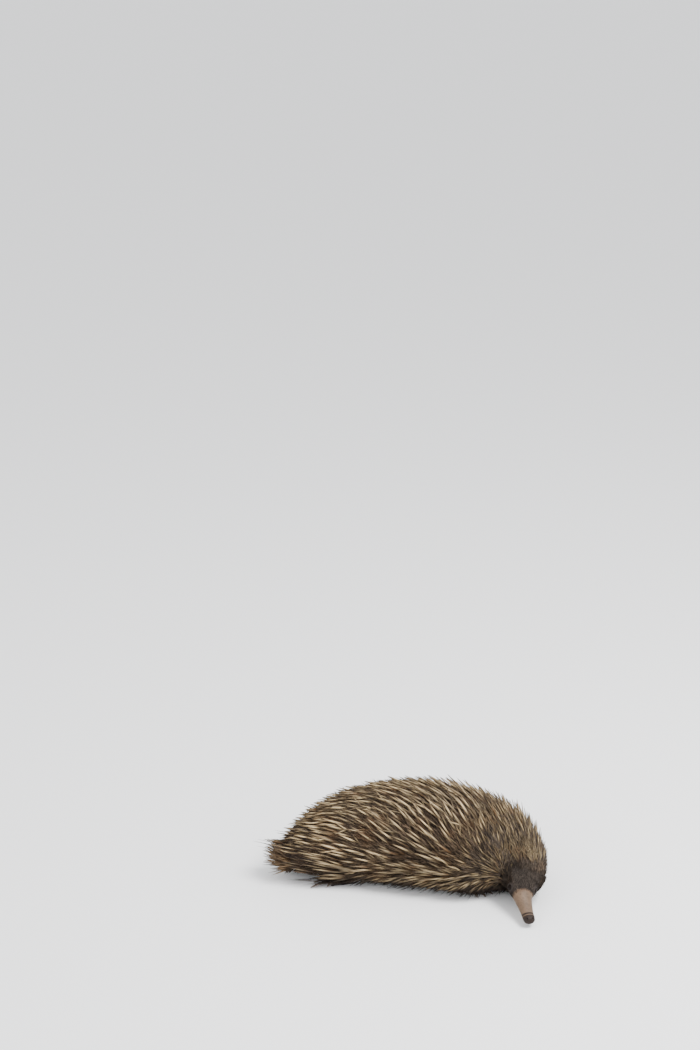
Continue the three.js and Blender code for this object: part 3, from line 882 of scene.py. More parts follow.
@dataclass(frozen=True)
class Leg:
    """One leg with its foot, toes and claws: the same sizes as in the frame.

    Attributes:
        name: Its end and side.
        side: The side it stands on.
        at: t of the line's point from which it is placed.
        out: How far outwards the foot stands.
        ahead: How far forward it stands.
        thick: The limb's radius at the body.
        point: Where the foot points, in degrees from straight ahead round to the outer side.
        sole: Length, width and height of the sole.
        claws: Lengths of the claws from the inner side.
        claw_half: Half a claw's width.
        splay: Degrees between toes.
    """

    name: str
    side: Side
    at: float
    out: float
    ahead: float
    thick: float
    point: float
    sole: tuple[float, float, float]
    claws: tuple[float, ...]
    claw_half: float
    splay: float

    def heading(self, form: BodyForm, degrees: Array | float) -> Array:
        """A level direction beside the leg.

        Args:
            form: The body's surface.
            degrees: Degrees from straight ahead round to the outer side.

        Returns:
            The direction, one long.
        """
        ahead, left, _ = form.axes(np.array(self.at))
        outwards = unit(left * self.side.value * np.array([1, 1, 0]))
        forward = unit(ahead * np.array([1, 1, 0]))
        angle = np.radians(np.asarray(degrees, float))[..., None]
        return np.cos(angle) * forward + np.sin(angle) * outwards

    def foot(self, form: BodyForm) -> Array:
        """The middle of the foot on the floor.

        Args:
            form: The body's surface.

        Returns:
            The point.
        """
        root = form.line(np.array(self.at))
        middle = root + self.out * self.heading(form, 90.0) + self.ahead * self.heading(form, 0.0)
        return middle * np.array([1, 1, 0])

    def knuckle(self, form: BodyForm, number: int) -> tuple[Array, Array, float]:
        """Where a toe ends, which way it points and how wide its claw is.

        Args:
            form: The body's surface.
            number: The toe, from 0 on the inner side.

        Returns:
            The knuckle's place, the toe's direction and half the claw's width.
        """
        fan = number - 2
        way = self.heading(form, self.point + fan * self.splay)
        length, width, _ = self.sole
        base = self.foot(form) + length * 0.26 * self.heading(form, self.point)
        base = base + fan * width * 0.17 * self.heading(form, self.point + 90)
        half = self.claw_half * (0.8 + 0.2 * self.claws[number] / 19)
        return base + 9 * way, way, half


def make_legs() -> list[Leg]:
    """All four legs.

    Returns:
        Both front legs, then both hind legs.
    """
    front = dict(at=place("shoulders") - 0.15, out=29, ahead=0, thick=17, point=6, sole=(26, 24, 11),
                 claws=(13, 17, 19, 17, 12), claw_half=2.7, splay=15)
    rear = dict(at=place("hips") - 0.2, out=38, ahead=0, thick=18, point=190, sole=(28, 22, 11),
                claws=(6, 26, 19, 13, 10), claw_half=2.2, splay=14)
    return [Leg(f"{end}_{side.name.lower()}", side, **sizes)
            for end, sizes in (("front", front), ("rear", rear)) for side in Side]


def sweep(points: Array, width: Array, height: Array, up: Array, columns: int) -> Array:
    """Rings of ellipses along a path. Each ring stands square to the path, with its height towards up.

    Args:
        points: The path.
        width: Half widths, one for each point.
        height: Half heights.
        up: The direction that the height leans to.
        columns: Points in each ring.

    Returns:
        The rings.
    """
    ahead = unit(np.gradient(points, axis=0))
    left = unit(np.cross(up, ahead))
    over = np.cross(ahead, left)
    turn = 2 * np.pi * np.arange(columns) / columns
    across = left[:, None] * np.cos(turn)[None, :, None] * width[:, None, None]
    return points[:, None] + across + over[:, None] * np.sin(turn)[None, :, None] * height[:, None, None]


def bell(value: Array, middle: float, width: float) -> Array:
    """A bell curve, e to the minus square of the distance from its middle in widths."""
    return np.exp(-(((value - middle) / width) ** 2))


def bezier(corners: list[Array], count: int) -> Array:
    """Points of a quadratic Bezier curve, or of a straight line, at even shares.

    The corners count by the square of what is left, twice the product of both shares, and the share's square.

    Args:
        corners: Two or three corner points.
        count: How many points.

    Returns:
        The points.
    """
    s = np.linspace(0, 1, count)[:, None]
    if len(corners) == 2:
        return corners[0] * (1 - s) + corners[1] * s
    return corners[0] * (1 - s) ** 2 + 2 * corners[1] * s * (1 - s) + corners[2] * s**2


@dataclass
class Skin:
    """The one skin: trunk, neck, head, beak and tail as a single surface, with legs and ears joined on."""

    form: BodyForm
    legs: list[Leg]
    tail_rings: int = 15
    trunk_rings: int = 108
    head_rings: int = 168
    tip_rings: int = 22
    columns: int = 208
    voxel: float = 0.9
    inside: float = 0.5
    eye_at: float = place("eyes") + 0.41
    eye_turn: float = 15.0
    eye_radius: float = 3.9
    eye_sunk: float = 2.4
    almond: Span = (3.4, 2.9)
    nostril: tuple[float, float, float] = (1.25, 0.8, 1.4)
    nostril_turn: float = 58.0
    mouth_at: float = 12.02
    step_at: float = 11.52
    ring_at: float = 11.8

    def eye(self, side: Side) -> tuple[Array, Array, Array, Array]:
        """One eye's centre, and the surface's directions ahead, round and out at it.

        Args:
            side: Which eye.

        Returns:
            centre, ahead, round and normal.
        """
        turn = np.radians(self.eye_turn if side is Side.LEFT else 180 - self.eye_turn)
        at = np.array(self.eye_at)
        ahead, round_, normal = self.form.frame(at, np.array(turn))
        return self.form.point(at, turn) - self.eye_sunk * normal, ahead, round_, normal

    def body(self) -> MeshData:
        """The surface from the end of the tail to the tip of the beak, with the face's relief on it.

        The rings run from the tail's end through t to the tip's dome. In the two domes the section shrinks as
        the root of one minus the square of the share, while its middle moves on.

        Returns:
            The mesh, with the skin's values.
        """
        tail_share = np.sin(np.linspace(np.pi / 2, 0, self.tail_rings, endpoint=False))
        trunk = np.linspace(TRUNK_FROM, HEAD_FROM, self.trunk_rings, endpoint=False)
        head = np.linspace(HEAD_FROM, BEAK_TO, self.head_rings, endpoint=False)
        tip_share = np.sin(np.linspace(0, np.pi / 2, self.tip_rings))
        ends = np.full(len(tail_share), TRUNK_FROM), np.full(len(tip_share), BEAK_TO)
        t = np.concatenate([ends[0], trunk, head, ends[1]])
        tail = np.concatenate([tail_share, np.zeros(len(t) - len(tail_share))])
        tip = np.concatenate([np.zeros(len(t) - len(tip_share)), tip_share])
        turn = 2 * np.pi * np.arange(self.columns) / self.columns
        inside = self.inside * (1 - smooth(t, 8.2, 9.2))
        points = self.form.point(t[:, None], turn[None, :], -inside[:, None])
        middle = self.form.line(t)[:, None]
        size = np.sqrt(np.clip(1 - np.maximum(tail, tip) ** 2.0, 0, 1))[:, None, None]
        points = middle + (points - middle) * size
        ahead = self.form.axes(t)[0]
        points += (ahead * (-self.form.tail_length * tail + self.form.tip_length * tip)[:, None])[:, None]
        points += (UP * (self.form.tail_lift * tail)[:, None])[:, None]

        along = np.gradient(points, axis=0)
        closed = np.concatenate([points[:, -1:], points, points[:, :1]], axis=1)
        across = np.gradient(closed, axis=1)[:, 1:-1]
        normal = unit(np.cross(across, along))
        relief, dark, deep = self.relief(points, t, turn, tip)
        points = points + normal * relief[..., None]
        data_points, triangles = closed_tube(points)
        shape = points.shape[:2]
        past = self.form.beyond_fur(t[:, None], turn[None, :])
        values = {
            "bare": smooth(past, -0.2, 0.2),
            "rust": bell(past, 0.03, 0.2) * (0.15 + 0.6 * np.sin(turn)[None, :] ** 6),
            "tip": np.maximum(self.tip_shade(t + 0.5 * tip)[:, None], dark),
            "deep": deep,
            "head": np.broadcast_to(smooth(t, 7.6, 8.2)[:, None], shape),
        }
        return MeshData(data_points, triangles, {key: with_ends(grid) for key, grid in values.items()})

    def relief(self, points: Array, t: Array, turn: Array, tip: Array) -> tuple[Array, Array, Array]:
        """How far the skin stands off the plain surface, and where it is dark or a hole.

        Lids are a ridge round an almond at the eye's place and a hollow inside it. Nostrils are two oval pits
        in low mounds on top of the tip. The mouth is a groove across its underside. A faint step marks the
        start of the dark tip, and waves wrinkle the beak. Each part is a bell curve of a distance.

        Args:
            points: The plain surface's points.
            t: t of each ring.
            turn: Turn of each column.
            tip: Share of the tip's dome of each ring.

        Returns:
            Heights in millimetres, then darkness and depth of holes from 0 to 1, on the grid; the depth is
            painted into the skin as shade.
        """
        relief, dark, deep = (np.zeros(points.shape[:2]) for _ in range(3))
        for side in Side:
            centre, ahead, round_, normal = self.eye(side)
            away = points - (centre + normal * self.eye_sunk)
            along, across = away @ ahead, away @ round_
            near = np.linalg.norm(away, axis=-1) < 12
            almond = np.sqrt((along / self.almond[0]) ** 2 + (across / self.almond[1]) ** 2)
            relief += near * (0.7 * bell(almond, 1.2, 0.2) - 2.2 * (1 - smooth(almond, 0.8, 1.08)))
            relief += near * 0.5 * np.exp(-((almond / 2.4) ** 4))
            dark = np.maximum(dark, near * (1 - smooth(almond, 1.5, 2.2)))
            end = np.array(float(BEAK_TO))
            axes = np.stack(self.form.axes(end), axis=-1)
            degrees = self.nostril_turn if side is Side.LEFT else 180 - self.nostril_turn
            away = points - (self.form.point(end, np.radians(degrees)) + axes[:, 0] * 1.4)
            pit = np.linalg.norm(away @ axes / self.nostril, axis=-1)
            relief += 0.3 * bell(pit, 0.0, 2.0) - 1.8 * np.exp(-(pit**4))
            deep = np.maximum(deep, np.exp(-(pit**4)))
        low = smooth(-np.sin(turn), 0.15, 0.5)[None, :]
        end = (t + 0.35 * tip)[:, None]
        mouth = low * bell(end, self.mouth_at, 0.03)
        relief -= 0.9 * low * bell(end, self.mouth_at, 0.035)
        relief -= 0.22 * bell(end, self.step_at, 0.025) - 0.25 * bell(end, self.ring_at, 0.16)
        wrinkle = np.sin(end * 95 + 1.6 * np.sin(3 * turn[None, :]) + 9 * np.sin(7 * end))
        relief += 0.05 * wrinkle * smooth(end, 10.1, 10.5)
        return relief, np.maximum(dark, mouth), np.maximum(deep, mouth)

    def tip_shade(self, t: Array) -> Array:
        """How dark the beak's end is: dark from the step on, with one paler ring behind the nostrils."""
        return smooth(t, self.step_at - 0.06, self.step_at + 0.06) * (1 - 0.85 * bell(t, 11.74, 0.05))

    def furred(self, count: int, head: float) -> dict[str, Array]:
        """The skin's values on a part that fur covers."""
        none = np.zeros(count)
        return {"bare": none, "rust": none, "tip": none, "deep": none, "head": none + head}

    def ear(self, side: Side) -> MeshData:
        """The low curved ridge round one ear's opening: a bent rod that swells in its middle as a sine.

        Args:
            side: Which ear.

        Returns:
            The mesh, with the skin's values.
        """
        share = np.linspace(0, 1, 28)
        at = EAR_AT - 0.16 * np.sin(np.pi * share)
        degrees = -12 + 46 * share
        turn = np.radians(degrees if side is Side.LEFT else 180 - degrees)
        _, _, normal = self.form.frame(at, turn)
        swell = 0.3 + 1.3 * np.sin(np.pi * share) ** 0.7
        rings = sweep(self.form.point(at, turn) + 0.5 * normal, swell * 0.8, swell, self.eye(side)[3], 14)
        points, triangles = closed_tube(rings)
        return MeshData(points, triangles, self.furred(len(points), 1.0))

    def leg(self, leg: Leg) -> MeshData:
        """One leg: limb, sole and toes as swept tubes, fused by a fine remesh and smoothed.

        Args:
            leg: Which leg.

        Returns:
            The mesh, with the skin's values.
        """
        foot = leg.foot(self.form)
        root = self.form.line(np.array(leg.at))
        outwards, forward = leg.heading(self.form, 90.0), leg.heading(self.form, 0.0)
        toes = leg.heading(self.form, leg.point)
        length, width, height = leg.sole
        shoulder = root + outwards * leg.out * 0.6
        shoulder = np.array([shoulder[0], shoulder[1], 34.0])
        bend = shoulder * 0.45 + foot * 0.55
        limb = bezier([shoulder, np.array([bend[0], bend[1], 20.0]), foot + UP * 5], 14)
        share = np.linspace(0, 1, 14)
        rings = [sweep(limb, leg.thick - 6.4 * share, leg.thick - 5.4 * share, forward, 22)]
        share = np.linspace(0, 1, 18)
        bulge = np.sin(np.pi * (0.14 + 0.74 * share)) ** 0.6
        sole = bezier([foot - toes * length / 2, foot + toes * length / 2], 18)
        rings.append(sweep(sole, width / 2 * bulge * 0.97, height * bulge * 0.97, UP, 22))
        for number in range(len(leg.claws)):
            knuckle, way, half = leg.knuckle(self.form, number)
            path = bezier([knuckle - way * 9 + UP * 3.2, knuckle + UP * 3.3], 10)
            share = np.linspace(0, 1, 10)
            round_off = np.sqrt(np.clip(1 - (share * 0.96) ** 6, 0, 1))
            high = 3.3 + 0.5 * np.sin(9 * share)
            rings.append(sweep(path, (half + 1.1) * round_off, high * round_off, UP, 12))
        parts = []
        for ring in rings:
            ring[..., 2] = np.maximum(ring[..., 2], 0.0)
            parts.append(MeshData(*closed_tube(ring)))
        return self.fused(MeshData.join(parts))

    def fused(self, data: MeshData) -> MeshData:
        """Crossing closed shells made into one by a remesh, then smoothed, and kept off the floor.

        Args:
            data: The shells.

        Returns:
            One closed shell with the skin's values.
        """
        mesh = bpy.data.meshes.new("fusing")
        mesh.from_pydata(data.points.tolist(), [], data.triangles.tolist())
        temporary = bpy.data.objects.new("fusing", mesh)
        bpy.context.scene.collection.objects.link(temporary)
        remesh = temporary.modifiers.new("remesh", "REMESH")
        remesh.mode, remesh.voxel_size = "VOXEL", self.voxel
        soften = temporary.modifiers.new("soften", "SMOOTH")
        soften.factor, soften.iterations = 0.5, 4
        temporary.modifiers.new("triangles", "TRIANGULATE")
        evaluated = temporary.evaluated_get(bpy.context.evaluated_depsgraph_get())
        result = evaluated.to_mesh()
        points = np.empty(len(result.vertices) * 3)
        result.vertices.foreach_get("co", points)
        triangles = np.empty(len(result.polygons) * 3, np.int32)
        result.polygons.foreach_get("vertices", triangles)
        evaluated.to_mesh_clear()
        bpy.data.objects.remove(temporary)
        bpy.data.meshes.remove(mesh)
        points = points.reshape(-1, 3)
        points[:, 2] = np.maximum(points[:, 2], 0.0)
        return MeshData(points, triangles.reshape(-1, 3), self.furred(len(points), 0.6))

    def build(self, shop: Workshop) -> dict[str, MeshData]:
        """Builds the skin as one piece.

        Args:
            shop: Where pieces are made.

        Returns:
            The own mesh of each leg and ear, for the fur that grows on it.
        """
        limbs = {leg.name: self.leg(leg) for leg in self.legs}
        limbs |= {ear_name(side): self.ear(side) for side in Side}
        data = MeshData.join([self.body(), *limbs.values()])
        nodes = ["torso", "neck", "tail", "head", "beak", *(ear_name(side) for side in Side)]
        nodes += [f"leg_{leg.name}" for leg in self.legs]
        shop.piece("skin", data, Hide().material(), nodes)
        return limbs

    def build_eyes(self, shop: Workshop) -> None:
        """Builds both eyes as balls in their sockets, by the cosine and sine of height and turn.

        Args:
            shop: Where pieces are made.
        """
        material = EyeGloss().material()
        for side in Side:
            centre, ahead, round_, normal = self.eye(side)
            high = np.linspace(-np.pi / 2 + 1e-3, np.pi / 2 - 1e-3, 30)[:, None, None]
            turn = (2 * np.pi * np.arange(44) / 44)[None, :, None]
            ball = np.cos(high) * (np.cos(turn) * round_ + np.sin(turn) * ahead) + np.sin(high) * normal
            data = MeshData(*closed_tube(centre + self.eye_radius * ball))
            name = f"eye_{side.name.lower()}"
            shop.piece(f"{name}_ball", data, material, [name])


@dataclass
class Claws:
    """The claws of all feet, one piece for each foot."""

    form: BodyForm
    legs: list[Leg]
    rings: int = 18
    columns: int = 14
    high: float = 1.9
    lowest: float = 0.15

    def claw(self, leg: Leg, number: int) -> MeshData:
        """One claw: a rod, wider than high, that bows over and thins to a blunt tip.

        Its width falls with the square of the share along it and its height with the share itself, both times
        the root of one minus the share's fifth power, which rounds the tip.

        Args:
            leg: Whose claw it is.
            number: The toe, from 0 on the inner side.

        Returns:
            The mesh, with its share from root to tip as a value.
        """
        knuckle, way, half = leg.knuckle(self.form, number)
        length = leg.claws[number]
        path = bezier([knuckle - way * 3 + UP * 3.3, knuckle + way * length * 0.55 + UP * 5.6,
                       knuckle + way * length + UP * 1.1], self.rings)
        share = np.linspace(0, 1, self.rings)
        blunt = np.sqrt(np.clip(1 - share**5, 0.004, 1))
        wide, high = half * (1 - 0.5 * share**2) * blunt, self.high * (1 - 0.55 * share) * blunt
        rings = sweep(path, wide, high, UP, self.columns)
        rings[..., 2] = np.maximum(rings[..., 2], self.lowest)
        points, triangles = closed_tube(rings)
        along = np.concatenate([np.repeat(share, self.columns), [0.0, 1.0]])
        return MeshData(points, triangles, {"along": along})

    def build(self, shop: Workshop) -> None:
        """Builds one piece of five claws for each foot.

        Args:
            shop: Where pieces are made.
        """
        material = ClawHorn().material()
        for leg in self.legs:
            toes = range(len(leg.claws))
            data = MeshData.join([self.claw(leg, number) for number in toes])
            nodes = [f"claw_{leg.name}_{number + 1}" for number in toes]
            shop.piece(f"claws_{leg.name}", data, material, nodes)


class Rod(Enum):
    """The kinds of strand: where its rings lie, their shares of the radius, its corners and its slot."""

    SPINE = ((0.0, 0.3, 0.55, 0.78, 0.93), (0.75, 1.0, 0.95, 0.66, 0.3), 6, "spines")
    TUFT = ((0.0, 0.45), (1.0, 0.8), 3, "fur")


@dataclass
class Strands:
    """Many tapered rods at once: each a curve from its root over a bend to its tip."""

    root: Array
    bend: Array
    tip: Array
    radius: Array
    spot: Array
    tone: Array
    warm: Array | None = None
    lowest: float = 0.4
    patch: float = 0.0015

    def mesh(self, rod: Rod) -> MeshData:
        """Rings square to a quadratic curve, closed by a point at the tip and a face at the root.

        Args:
            rod: The kind of strand.

        Returns:
            The mesh, with along, tone and warm, and each strand's patch of the unwrap.
        """
        shares, profile, sides, _ = rod.value
        count, rings = len(self.root), len(shares)
        s = np.array(shares)[None, :, None]
        root, bend, tip = (part[:, None] for part in (self.root, self.bend, self.tip))
        centre = root * (1 - s) ** 2 + 2 * bend * s * (1 - s) + tip * s**2
        ahead = unit(2 * (bend - root) * (1 - s) + 2 * (tip - bend) * s)
        side = unit(np.cross(UP, ahead) + 1e-6)
        over = np.cross(ahead, side)
        turn = (2 * np.pi * np.arange(sides) / sides + np.pi / 2)[None, None, :, None]
        reach = self.radius[:, None, None, None] * np.array(profile)[None, :, None, None]
        ring = side[:, :, None] * np.cos(turn) + over[:, :, None] * np.sin(turn)
        ring = centre[:, :, None] + reach * ring
        ring[..., 2] = np.maximum(ring[..., 2], self.lowest)
        per = rings * sides + 1
        points = np.concatenate([ring.reshape(count, -1, 3), self.tip[:, None]], axis=1)
        walls = grid_triangles(rings, sides)
        j = np.arange(sides)
        k = (j + 1) % sides
        last = (rings - 1) * sides
        point = np.stack([last + j, last + k, np.full(sides, per - 1)], -1)
        foot = np.stack([np.zeros(sides - 2, int), j[2:], j[1:-1]], -1)
        pattern = np.concatenate([walls, point, foot])
        triangles = (pattern[None] + per * np.arange(count)[:, None, None]).reshape(-1, 3)
        along = np.concatenate([np.repeat(np.array(shares), sides), [1.0]])
        across = np.concatenate([np.tile(np.cos(2 * np.pi * j / sides), rings), [0.0]])
        patch = np.stack([self.patch * across, 2 * self.patch * along - self.patch], axis=-1)
        values = {"along": np.tile(along, count), "tone": np.repeat(self.tone, per)}
        if self.warm is not None:
            values["warm"] = np.repeat(self.warm, per)
        uv = (self.spot[:, None] + patch[None]).reshape(-1, 2)
        return MeshData(points.reshape(-1, 3), triangles, values, uv)

    def build(self, shop: Workshop, name: str, rod: Rod, material: bpy.types.Material) -> None:
        """Builds all of them as one piece."""
        shop.piece(name, self.mesh(rod), material)


@dataclass(frozen=True)
class Shadow:
    """Painted shade that darkens spines in the ruff behind the face and down at the floor.

    Attributes:
        ruff_end: From where on the painted shade of the ruff is darkest, in sections past the edge of the
            neck's fur.
        high: Height of a tip at which the painted shade of the floor begins, in millimetres.
        depth: How far below zero the tone goes in that painted shade at the floor.
    """

    ruff_end: float
    high: float
    depth: float

    def ruff(self, form: BodyForm, t: Array, turn: Array) -> Array:
        """Painted shade on the ruff: from a section behind that edge on, and less on the left side."""
        right = 0.4 + 0.6 * smooth(-np.cos(turn), -0.2, 0.6)
        return smooth(form.beyond_neck(t, turn), -1.0, self.ruff_end) * right

    def floor(self, tip: Array) -> Array:
        """Painted shade on tips near the floor: 1 below eight millimetres."""
        return 1 - smooth(tip[:, 2], 8.0, self.high)

    def sink_in_floor_shade(self, tone: Array, floor: Array) -> Array:
        """Tones with the floor's painted shade mixed in."""
        return tone * (1 - floor) - self.depth * floor


@dataclass
class StoutSpines:
    """The thick spines of one CAD node, each on the line of the solid spine that it stands for."""

    form: BodyForm
    node: bpy.types.Object
    shift: Array
    name: str
    warm: float
    thick: float
    tone: Span
    seed: int
    sharp: float = 0.7
    sunk: float = 5.0
    shadow: Shadow = Shadow(-0.2, 16.0, 0.27)

    def lines(self) -> tuple[Array, Array]:
        """Where the solid spines come out of the body, and their tips.

        A tip is a corner of the solid at which the angles of all faces add up to little. The place where the
        spine comes out is the mean of the other corners of those faces.

        Returns:
            The places and the tips, in millimetres of the working frame.
        """
        data = self.node.data
        data.calc_loop_triangles()
        loose = np.empty(len(data.vertices) * 3)
        data.vertices.foreach_get("co", loose)
        corners = np.empty(len(data.loop_triangles) * 3, np.int32)
        data.loop_triangles.foreach_get("vertices", corners)
        loose = loose.reshape(-1, 3) / MM - self.shift
        points, same = np.unique(np.round(loose, 3), axis=0, return_inverse=True)
        corners = same.ravel()[corners].reshape(-1, 3)
        here, count = points[corners], len(points)
        following, previous = points[np.roll(corners, -1, axis=1)], points[np.roll(corners, 1, axis=1)]
        cosine = (unit(following - here) * unit(previous - here)).sum(axis=-1)
        angle = np.bincount(corners.ravel(), np.arccos(np.clip(cosine, -1, 1)).ravel(), count)
        both = following + previous
        sums = [np.bincount(corners.ravel(), both[..., k].ravel(), count) for k in range(3)]
        faces = np.bincount(corners.ravel(), minlength=count)[:, None]
        sharp = angle < self.sharp
        return (np.stack(sums, axis=-1) / (2 * faces))[sharp], points[sharp]

    def strands(self) -> Strands:
        """The spines, sunk into the skin, with a slight bow each.

        Returns:
            One rod for each solid spine.
        """
        foot, tip = self.lines()
        count = len(foot)
        rng = np.random.default_rng(self.seed)
        way = unit(tip - foot)
        root = foot - way * self.sunk
        t, turn = self.form.nearest(foot)
        under = smooth(-np.sin(turn), 0.0, 0.6)
        bow = unit(np.cross(way, UP)) * rng.normal(0, 0.9, (count, 1))
        bend = (root + tip) / 2 + bow + UP * rng.normal(0.5, 0.6, (count, 1))
        radius = 0.95 + 0.7 * smooth(self.form.row("spine", t), 22, 46)
        radius = radius * rng.uniform(0.82, 1.1, count) * (1 - 0.25 * under) * self.thick
        rear = 1 - smooth(t, 0.5, 2.2)
        warm = np.clip(self.warm + 0.25 * under + 0.3 * rear + rng.normal(0, 0.2, count), 0, 1)
        tone = self.tone[0] + (self.tone[1] - self.tone[0]) * rng.uniform(0, 1, count) ** 1.25
        # Darker on top; darker low on the flanks, in the ruff and near the floor as painted shade, and the
        # painted shade of ruff and floor also makes these spines browner.
        top, low = smooth(np.sin(turn), 0.75, 1.0), smooth(-np.sin(turn), 0.0, 0.4)
        ruff, floor = self.shadow.ruff(self.form, t, turn), self.shadow.floor(tip)
        tone = tone * (1 - 0.25 * top - 0.4 * low) * (1 - 0.6 * ruff) * self.form.patch(t, turn)
        tone = self.shadow.sink_in_floor_shade(tone, floor)
        warm = np.clip(warm + 0.4 * ruff + 0.5 * floor, 0, 1)
        return Strands(root, bend, tip, radius, self.form.unwrap(t, turn), tone, warm)


@dataclass
class SpineCoat:
    """The thinner spines of one stretch of the body.

    Attributes:
        form: The body's surface.
        name: The piece's name.
        count: How many spines.
        t_range: First and last t.
        turn_range: First and last turn, in degrees.
        finish: Its finish.
        radius: Radius of the shortest and of the longest spine.
        length: Factor on the spines' length in the table of sections.
        height: Range of the tips' height over the skin, as a share of the coat's depth.
        lift: More height over the skin, in millimetres.
        sunk: How deep the roots lie in the skin.
        warm: Share of brown in the shafts.
        tone: The brightest spine's brightness.
        jitter: How far the lie varies, in radians.
        lowest: Range of the lowest height of a tip over the floor.
        weight: Where they grow more densely, or None.
        seed: Start of the random numbers.
        shadow: Where painted shade darkens the spines.
    """

    form: BodyForm
    name: str
    count: int
    t_range: Span
    turn_range: Span
    finish: SpineKeratin | Hair = KERATIN
    radius: Span = (0.4, 0.75)
    length: float = 1.0
    height: Span = (0.72, 1.12)
    lift: float = 0.0
    sunk: float = 4.0
    warm: float = 0.0
    tone: float = 0.6
    jitter: float = 0.2
    lowest: Span = (2.0, 4.5)
    weight: Rule | None = None
    seed: int = 1
    shadow: Shadow = Shadow(-0.1, 14.0, 0.25)

    def strands(self) -> Strands:
        """Roots, bends and tips: each tip stands over the place that the spine's lie leads to.

        Returns:
            The spines.
        """
        form, count = self.form, self.count
        rng = np.random.default_rng(self.seed)
        t, turn = form.scatter(count, self.t_range, self.turn_range, self.weight, self.seed)
        t = t + rng.normal(0, 0.02, count)
        turn = turn + rng.normal(0, 0.02, count)
        under = smooth(-np.sin(turn), 0.0, 0.6)
        length = form.row("spine", t) * self.length * (1 - 0.25 * under) * rng.uniform(0.8, 1.15, count)
        lie = form.lie(turn) + rng.normal(0, self.jitter, count)
        normal = form.frame(t, turn)[2]
        root = form.point(t, turn) - self.sunk * normal
        end, out = form.walk(t, turn, length, lie)
        tip = end + out * (self.lift + form.row("coat", t) * rng.uniform(*self.height, count))[:, None]
        tip[:, 2] = np.maximum(tip[:, 2], rng.uniform(*self.lowest, count))
        rear = form.rear(t)[:, None]
        reach = np.linalg.norm(tip - root, axis=-1, keepdims=True)
        root = tip - unit(unit(tip - root) * (1 - rear) + RUMP_WAY * rear) * reach
        root[:, 2] = np.maximum(root[:, 2], 5.0)
        bow = rng.normal(0.02, 0.02, count) * length
        bend = (root + tip) / 2 + normal * bow[:, None]
        share = form.row("spine", t) / LONGEST_SPINE
        radius = (self.radius[0] + (self.radius[1] - self.radius[0]) * share) * rng.uniform(0.8, 1.12, count)
        radius = radius * (1 - 0.3 * under)
        warm = self.warm + 0.75 * under + rng.normal(0, 0.16, count) + 0.35 * (1 - smooth(t, 0.3, 1.6))
        # Painted shade: the ruff and the floor darken these spines.
        ruff = self.shadow.ruff(form, t, turn)
        tone = self.tone * rng.uniform(0, 1, count) ** 1.3 * form.patch(t, turn)
        tone = tone * (1 - 0.7 * ruff) - 0.1 * ruff
        tone = self.shadow.sink_in_floor_shade(tone, self.shadow.floor(tip))
        return Strands(root, bend, tip, radius, form.unwrap(t, turn), tone, np.clip(warm, 0, 1))


